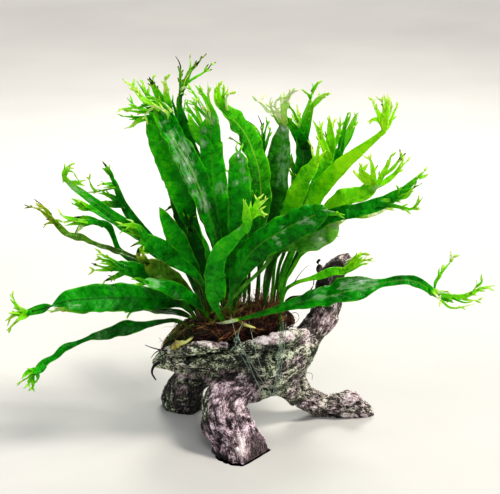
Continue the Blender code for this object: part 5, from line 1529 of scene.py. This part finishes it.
def fibreTubes(sheets, paths, radius, shade, moss, sides=3):
    # many thin tubes at once, where paths has a row of points for each: the radius falls evenly to about a
    # third at the far end
    ahead = unit(np.gradient(paths, axis=1))
    side = unit(np.cross(ahead, unit(np.array([0.3, 0.5, 0.8]))))
    outward = np.cross(side, ahead)
    a = np.linspace(0, math.tau, sides, endpoint=False)
    thin = np.linspace(1, 0.35, paths.shape[1])[None, :, None, None]
    ring = np.cos(a)[:, None] * side[:, :, None] + np.sin(a)[:, None] * outward[:, :, None]
    rings = paths[:, :, None] + ring * thin * np.asarray(radius).reshape(-1, 1, 1, 1)
    for grid, tone, green in zip(rings, shade, moss):
        age = np.zeros_like(grid)
        age[..., 0], age[..., 1] = tone, green
        addGrid(sheets, grid, None, age, closed=True, poles=True)


def buildRootMat(material):
    # a lumpy core, and strands that run over it along and across, some of them standing off it in loops
    rng = np.random.default_rng(rootMat["seed"])
    dense, wide, deep, across, outward = limbFrame(rootMat, 120)
    table = np.hstack([dense, wide[:, None], deep[:, None], across, outward])
    length = np.linalg.norm(np.diff(dense, axis=0), axis=1).sum()
    sheets = newSheets()
    around = np.linspace(0, math.tau, rootMat["coreSides"], endpoint=False)
    s, a = np.meshgrid(np.linspace(0, 1, rootMat["coreRings"]), around, indexing="ij")
    base = matPoint(table, s, a)
    rough = cloudNoise(base / (2.2 * mm), 61) * 0.9 * mm + cloudNoise(base / (0.9 * mm), 62) * 0.4 * mm
    core = matPoint(table, s, a, rough - 0.5 * mm)
    age = np.zeros_like(core)
    age[..., 0] = 0.05 + 0.25 * cloudNoise(base / (1.6 * mm), 63)
    addGrid(sheets, core, None, age, closed=True, poles=True)

    # strands that lie on the core: each drifts along and round it, and bows out in its middle
    count = rootMat["fibres"]
    t = np.linspace(0, 1, rootMat["strandRows"])[None]
    start = rng.uniform(0.03, 0.97, (count, 1))
    angle = math.pi + rng.normal(0, 1.1, (count, 1))
    run = rng.normal(0, rootMat["fibreRunMm"], (count, 1)) * mm / length
    turn = rng.normal(0, rootMat["fibreTurn"], (count, 1))
    curl = rng.uniform(0, math.tau, (count, 1))
    s = start + run * t + 0.012 * np.sin(curl + 5 * t)
    a = angle + turn * t + 0.12 * np.sin(curl * 2 + 6 * t)
    proud = np.abs(rng.normal(0, rootMat["proudMm"], (count, 1))) * mm
    raised = 0.2 * mm + proud * np.sin(math.pi * t) + rng.uniform(0, 0.5, (count, 1)) * mm
    paths = matPoint(table, s, a, raised)
    radius = rootMat["fibreRadiusMm"] * mm * rng.uniform(0.7, 1.7, count)
    left = start[:, 0] < 0.36
    moss = np.where(left & (rng.random(count) < 0.22), rng.uniform(0.5, 1, count), 0)
    fibreTubes(sheets, paths, radius, rng.uniform(-0.2, 0.45, count), moss)

    # strands that stand off it: straight out, sagging with the square of the way, and wavy
    count = rootMat["strayFibres"]
    t = t[..., None]
    start = rng.uniform(0.03, 0.97, (count, 1))
    angle = math.pi + rng.normal(0, 1.0, (count, 1))
    foot = matPoint(table, start, angle, np.zeros((count, 1)))
    tip = matPoint(table, start, angle, np.full((count, 1), mm))
    way = unit(tip - foot) + rng.normal(0, 0.7, (count, 1, 3))
    reach = rng.uniform(*rootMat["strayMm"], (count, 1, 1)) * mm
    sag = np.array([0, 0, -1.0]) * reach * rng.uniform(0.2, 1.3, (count, 1, 1))
    wiggle = np.sin(t * rng.uniform(3, 7, (count, 1, 3)) + rng.uniform(0, 6, (count, 1, 3))) * reach * 0.16
    paths = foot + unit(way) * reach * t + sag * t**2 + wiggle * t
    radius = rng.uniform(*rootMat["strayRadiusMm"], count) * mm
    fibreTubes(sheets, paths, radius, rng.uniform(-0.1, 0.5, count),
               np.where((start[:, 0] < 0.3) & (rng.random(count) < 0.35), 0.9, 0))
    for spec in tufts.values():
        count = spec["count"]
        spread = rng.normal(0, 0.5, (count, 1, 3)) * np.array(spec["sizeMm"]) * mm
        rise = rng.uniform(0.35, 1, (count, 1, 1)) * spec["heightMm"] * mm
        rise = rise * np.exp(-1.5 * (spread[..., :1] / mm / 6) ** 2)
        lean = rng.normal(0, 0.35, (count, 1, 3)) + np.array([0, -0.1, 1.0])
        wiggle = np.sin(t * rng.uniform(2, 6, (count, 1, 3)) + rng.uniform(0, 6, (count, 1, 3))) * 0.16
        paths = seenPoint(spec["foot"]) + spread + (unit(lean) * t + wiggle * t) * rise
        radius = rng.uniform(*rootMat["tuftRadiusMm"], count) * mm
        fibreTubes(sheets, paths, radius, spec["shade"] + rng.uniform(-0.25, 0.25, count),
                   np.where(rng.random(count) < spec["moss"], 0.8, 0))
    for spec in looseRoots.values():
        path, _ = smoothPath(seenPoint(rows(spec["route"])), 16)
        fibreTubes(sheets, path[None], [spec["radiusMm"] * mm], [-0.1], [0], sides=7)
    return addPiece("root_mat_strands", meshOf("root_mat_strands", sheets), material, ["root_mat"])


creepingStems = {  # places, radius, and how pale and how slim the new growth at the end is
    "rhizome_left": dict(route="172,349,-19 178,344,-20 186,342,-21 194,336,-20", radiusMm=1.9, pale=0.9,
        taper=0.6),
    "rhizome_main": dict(route="196,326,-9 212,318,-5 236,313,-2 260,308,2 278,309,5", radiusMm=2.6,
        pale=0.1),
    "rhizome_tip": dict(route="239,321,-20 246,325,-22 256,328,-22", radiusMm=0.85, pale=0.9, taper=0.3),
}


def makeStem():
    # creeping stem: smooth olive-yellow rind with brown scales, paler and greener where it is new
    material, add = newMaterial("rhizomeRind")
    age = add("SeparateXYZ", add("Attribute pieceAge", out="Vector"))
    cloud = add("TexNoise", add("TexCoord", out="Object"), Scale=420, Detail=4)  # scales of 2.4 mm
    rind = add("ValToRGB", cloud, stops=[
        (0.32, "#3a2412"), (0.46, "#7d6a24"), (0.6, "#a09a35"), (0.75, "#b9b658")])
    return dressed(material, {
        "Base Color": add("Mix RGBA", age, rind, "#d9dc86"),
        "Normal": add("Bump", Height=cloud, Distance=0.25 * mm),
        "Roughness": 0.42,
        "IOR": 1.45,
        "Subsurface Weight": 0.15,
        "Subsurface Scale": 1.5 * mm,
        "Coat Weight": 0.3,
    })


def buildStem(name, spec, material, seed):
    # a knobbly tube: radius * (rounded ends) * (1 + noise), with low rings where old stalks stood
    path, length = smoothPath(seenPoint(rows(spec["route"])), 60)
    t = np.linspace(0, 1, 60)
    ends = np.sqrt(np.clip(1 - np.abs(2 * t - 1) ** 5, 0.02, 1))
    ends = ends * (1 - spec.get("taper", 0) * smoothstep(0.25, 0.7, t))
    rings = tubeRings(path, spec["radiusMm"] * mm * ends * (1 + 0.08 * np.sin(t * length / mm * 1.9)), 20)
    lump = cloudNoise(rings / (2.4 * mm), seed)[..., None]
    rings = rings + (rings - path[:, None]) * 0.28 * lump
    age = np.zeros_like(rings)
    age[..., 0] = (spec["pale"] * smoothstep(0.2, 0.7, t if spec["pale"] > 0.7 else 1 - t))[:, None]
    sheets = newSheets()
    addGrid(sheets, rings, None, age, closed=True, poles=True)
    return addPiece(name + "_rind", meshOf(name, sheets), material, [name])


tieLines = {  # the strands of each set, by where each loop's plane shows: px,py at its top, then its foot
    "tie_line_right": "279,327,272,392 280.4,328,273.2,392 281.8,328,274.4,392 284,328,276,392",
    "tie_line_left": "236,331,269,390 240,326,266,392 242,331,273,388 253,325,272,392",
}
knotEnds = {  # the knot on the ledge and the strands that fan out of it
    "knot": "235,339,-25.5 239,338,-27 238,342,-27.5 234,341,-26.5 236,337,-27 240,341,-26",
    "end left": "231,316,-22 233,325,-24 237,339,-26.5",
    "end right": "243,321,-22 240,329,-24.5 237,339,-26.5",
    "end short": "237,339,-26.5 235,346,-27 230,351,-27",
}
lineRadius = 0.11 * mm


def makeLine():
    # nylon monofilament, drawn: clear with a green cast, with pale stretches that are painted glints
    material, add = newMaterial("nylonMonofilament")
    cloud = add("TexNoise", add("TexCoord", out="Object"), Scale=300)  # painted glints 3.3 mm long
    return dressed(material, {
        "Base Color": add("ValToRGB", cloud, stops=[(0.3, "#86b597"), (0.7, "#d2ead8")]),
        "Roughness": 0.2,
        "IOR": 1.53,
        "Transmission Weight": 0.35,
    })


def loopRound(points, top, bottom):
    # a taut loop: the convex outline of the points near the strand's plane, about a radius clear of them
    down = unit(bottom - top)
    normal = unit(np.cross(down, [0, 1, 0]))
    back = np.cross(normal, down)
    near = points[np.abs((points - top) @ normal) < 1.0 * mm] - top
    flat = np.stack([near @ back, near @ down], axis=1)
    flat = flat + unit(flat - flat.mean(axis=0)) * lineRadius * 1.3
    outline = flat[convex_hull_2d(flat.tolist())]
    outline = np.vstack([outline, outline[:1]])
    reached = travelled(outline)
    flat = readTable(np.linspace(0, reached[-1], int(reached[-1] / (1.2 * mm))), reached, outline)
    return top + flat[:, :1] * back + flat[:, 1:] * down


def buildLine(name, strands, wrapped, material):
    # each strand is a thin tube along its own loop, and the left set is knotted
    paths = []
    for topX, topY, bottomX, bottomY in rows(strands):
        paths.append(loopRound(wrapped, seenPoint((topX, topY, 0)), seenPoint((bottomX, bottomY, 0))))
    if name == "tie_line_left":
        paths += [smoothPath(seenPoint(rows(route)), 14)[0] for route in knotEnds.values()]
    sheets = newSheets()
    for path in paths:
        addGrid(sheets, tubeRings(path, lineRadius, 6), closed=True, poles=True)
    return addPiece(name + "_strands", meshOf(name, sheets), material, [name])


# what the photograph was taken with: floor, light and lens
studio = {
    "floorSize": 14.0,
    "air": ("#eef1f4", 0.5),  # the light from all round
    "key": dict(place=(0.50, -0.16, 0.82), angle=16, strength=2.5, tint="#fff7ec"),
    "softBoxes": {  # place, size, watts and tint of each, all aimed at the plant
        "front": ((0.05, -0.75, 0.75), 0.35, 2.2, "#ffffff"),
        "back": ((0.05, 0.60, 0.60), 0.35, 4.0, "#fffdf5"),
    },
}


def makeFloor():
    # a matt painted board, rolled: pale, with a faint mottle
    material, add = newMaterial("paintedBoard")
    cloud = add("TexNoise", add("TexCoord", out="Object"), Scale=6, Detail=6)  # 170 mm wide
    return dressed(material, {
        "Base Color": add("ValToRGB", cloud, stops=[(0.3, "#bdbcba"), (0.7, "#c5c4c1")]),
        "Roughness": 0.85,
        "Specular IOR Level": 0.25,
    })


def buildStudio():
    # a wide floor, light from all round, a soft sun, two soft boxes, and the photograph's lens
    bm = bmesh.new()
    bmesh.ops.create_grid(bm, x_segments=8, y_segments=8, size=studio["floorSize"] / 2)
    mesh = bpy.data.meshes.new("studio_floor")
    bm.to_mesh(mesh)
    bm.free()
    mesh.materials.append(makeFloor())
    floor = show("studio_floor", mesh)

    world = bpy.data.worlds.new("studioAir")
    world.use_nodes = True
    air = world.node_tree.nodes["Background"]
    for socket, value in zip(("Color", "Strength"), studio["air"]):
        plug(air.inputs[socket], value)
    scene.world = world
    key = bpy.data.lights.new("key", "SUN")
    key.angle = math.radians(studio["key"]["angle"])
    key.energy = studio["key"]["strength"]
    key.color = linearColour(studio["key"]["tint"])[:3]
    lamps = [(key, studio["key"]["place"])]
    for name, (place, size, watts, tint) in studio["softBoxes"].items():
        box = bpy.data.lights.new(name, "AREA")
        box.shape = "DISK"
        box.size = size
        box.energy = watts
        box.color = linearColour(tint)[:3]
        lamps.append((box, place))
    for lamp, place in lamps:
        light = show(lamp.name, lamp)
        light.location = place
        light.rotation_euler = (Vector(view["target"]) - Vector(place)).to_track_quat("-Z", "Y").to_euler()

    lens = bpy.data.cameras.new("lens")
    lens.sensor_fit = "HORIZONTAL"
    lens.sensor_width = view["sensorMm"]
    lens.lens = view["sensorMm"] * view["distance"] / (view["imageSize"][0] * view["pixelSize"])
    camera = show("camera", lens)
    camera.location = eye
    camera.rotation_euler = (math.radians(90) - view["elevation"], 0, 0)
    scene.camera = camera
    scene.view_settings.view_transform = "Standard"
    scene.view_settings.look = "Medium High Contrast"


def groundTree():
    # what a stalk may stand on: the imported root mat, creeping stems and log
    points, faces = [], []
    for name in ("root_mat", *creepingStems, "driftwood_log"):
        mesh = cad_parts[name].data
        start = len(points)
        points += [v.co.copy() for v in mesh.vertices]
        faces += [[start + i for i in polygon.vertices] for polygon in mesh.polygons]
    return BVHTree.FromPolygons(points, faces)


buildStudio()
print("studio ready")
skin, woodPoints = buildWood(makeBark())
print("driftwood carved:", len(skin.data.polygons), "faces")
mat = buildRootMat(makeRoots())
print("roots matted:", len(mat.data.polygons), "faces")
rind = makeStem()
for number, (name, spec) in enumerate(creepingStems.items()):
    buildStem(name, spec, rind, 70 + number)
print("stems laid:", len(creepingStems))
matPoints = readVectors(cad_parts["root_mat"].data.vertices, "co")
crotch = seenPoint((273, 394, 0))[2]  # the line goes round the log above its legs
wrapped = np.vstack([woodPoints[woodPoints[:, 2] > crotch], matPoints])
filament = makeLine()
for name, strands in tieLines.items():
    buildLine(name, strands, wrapped, filament)
print("line tied:", len(tieLines), "sets")
ground = groundTree()
leafMaterials = {tone: makeLeaf(tone, look) for tone, look in leafLooks.items()}
for number, (key, spec) in enumerate(fronds.items()):
    buildFrond(key, spec, ground, leafMaterials, 300 + number)
print("fronds grown:", len(fronds))
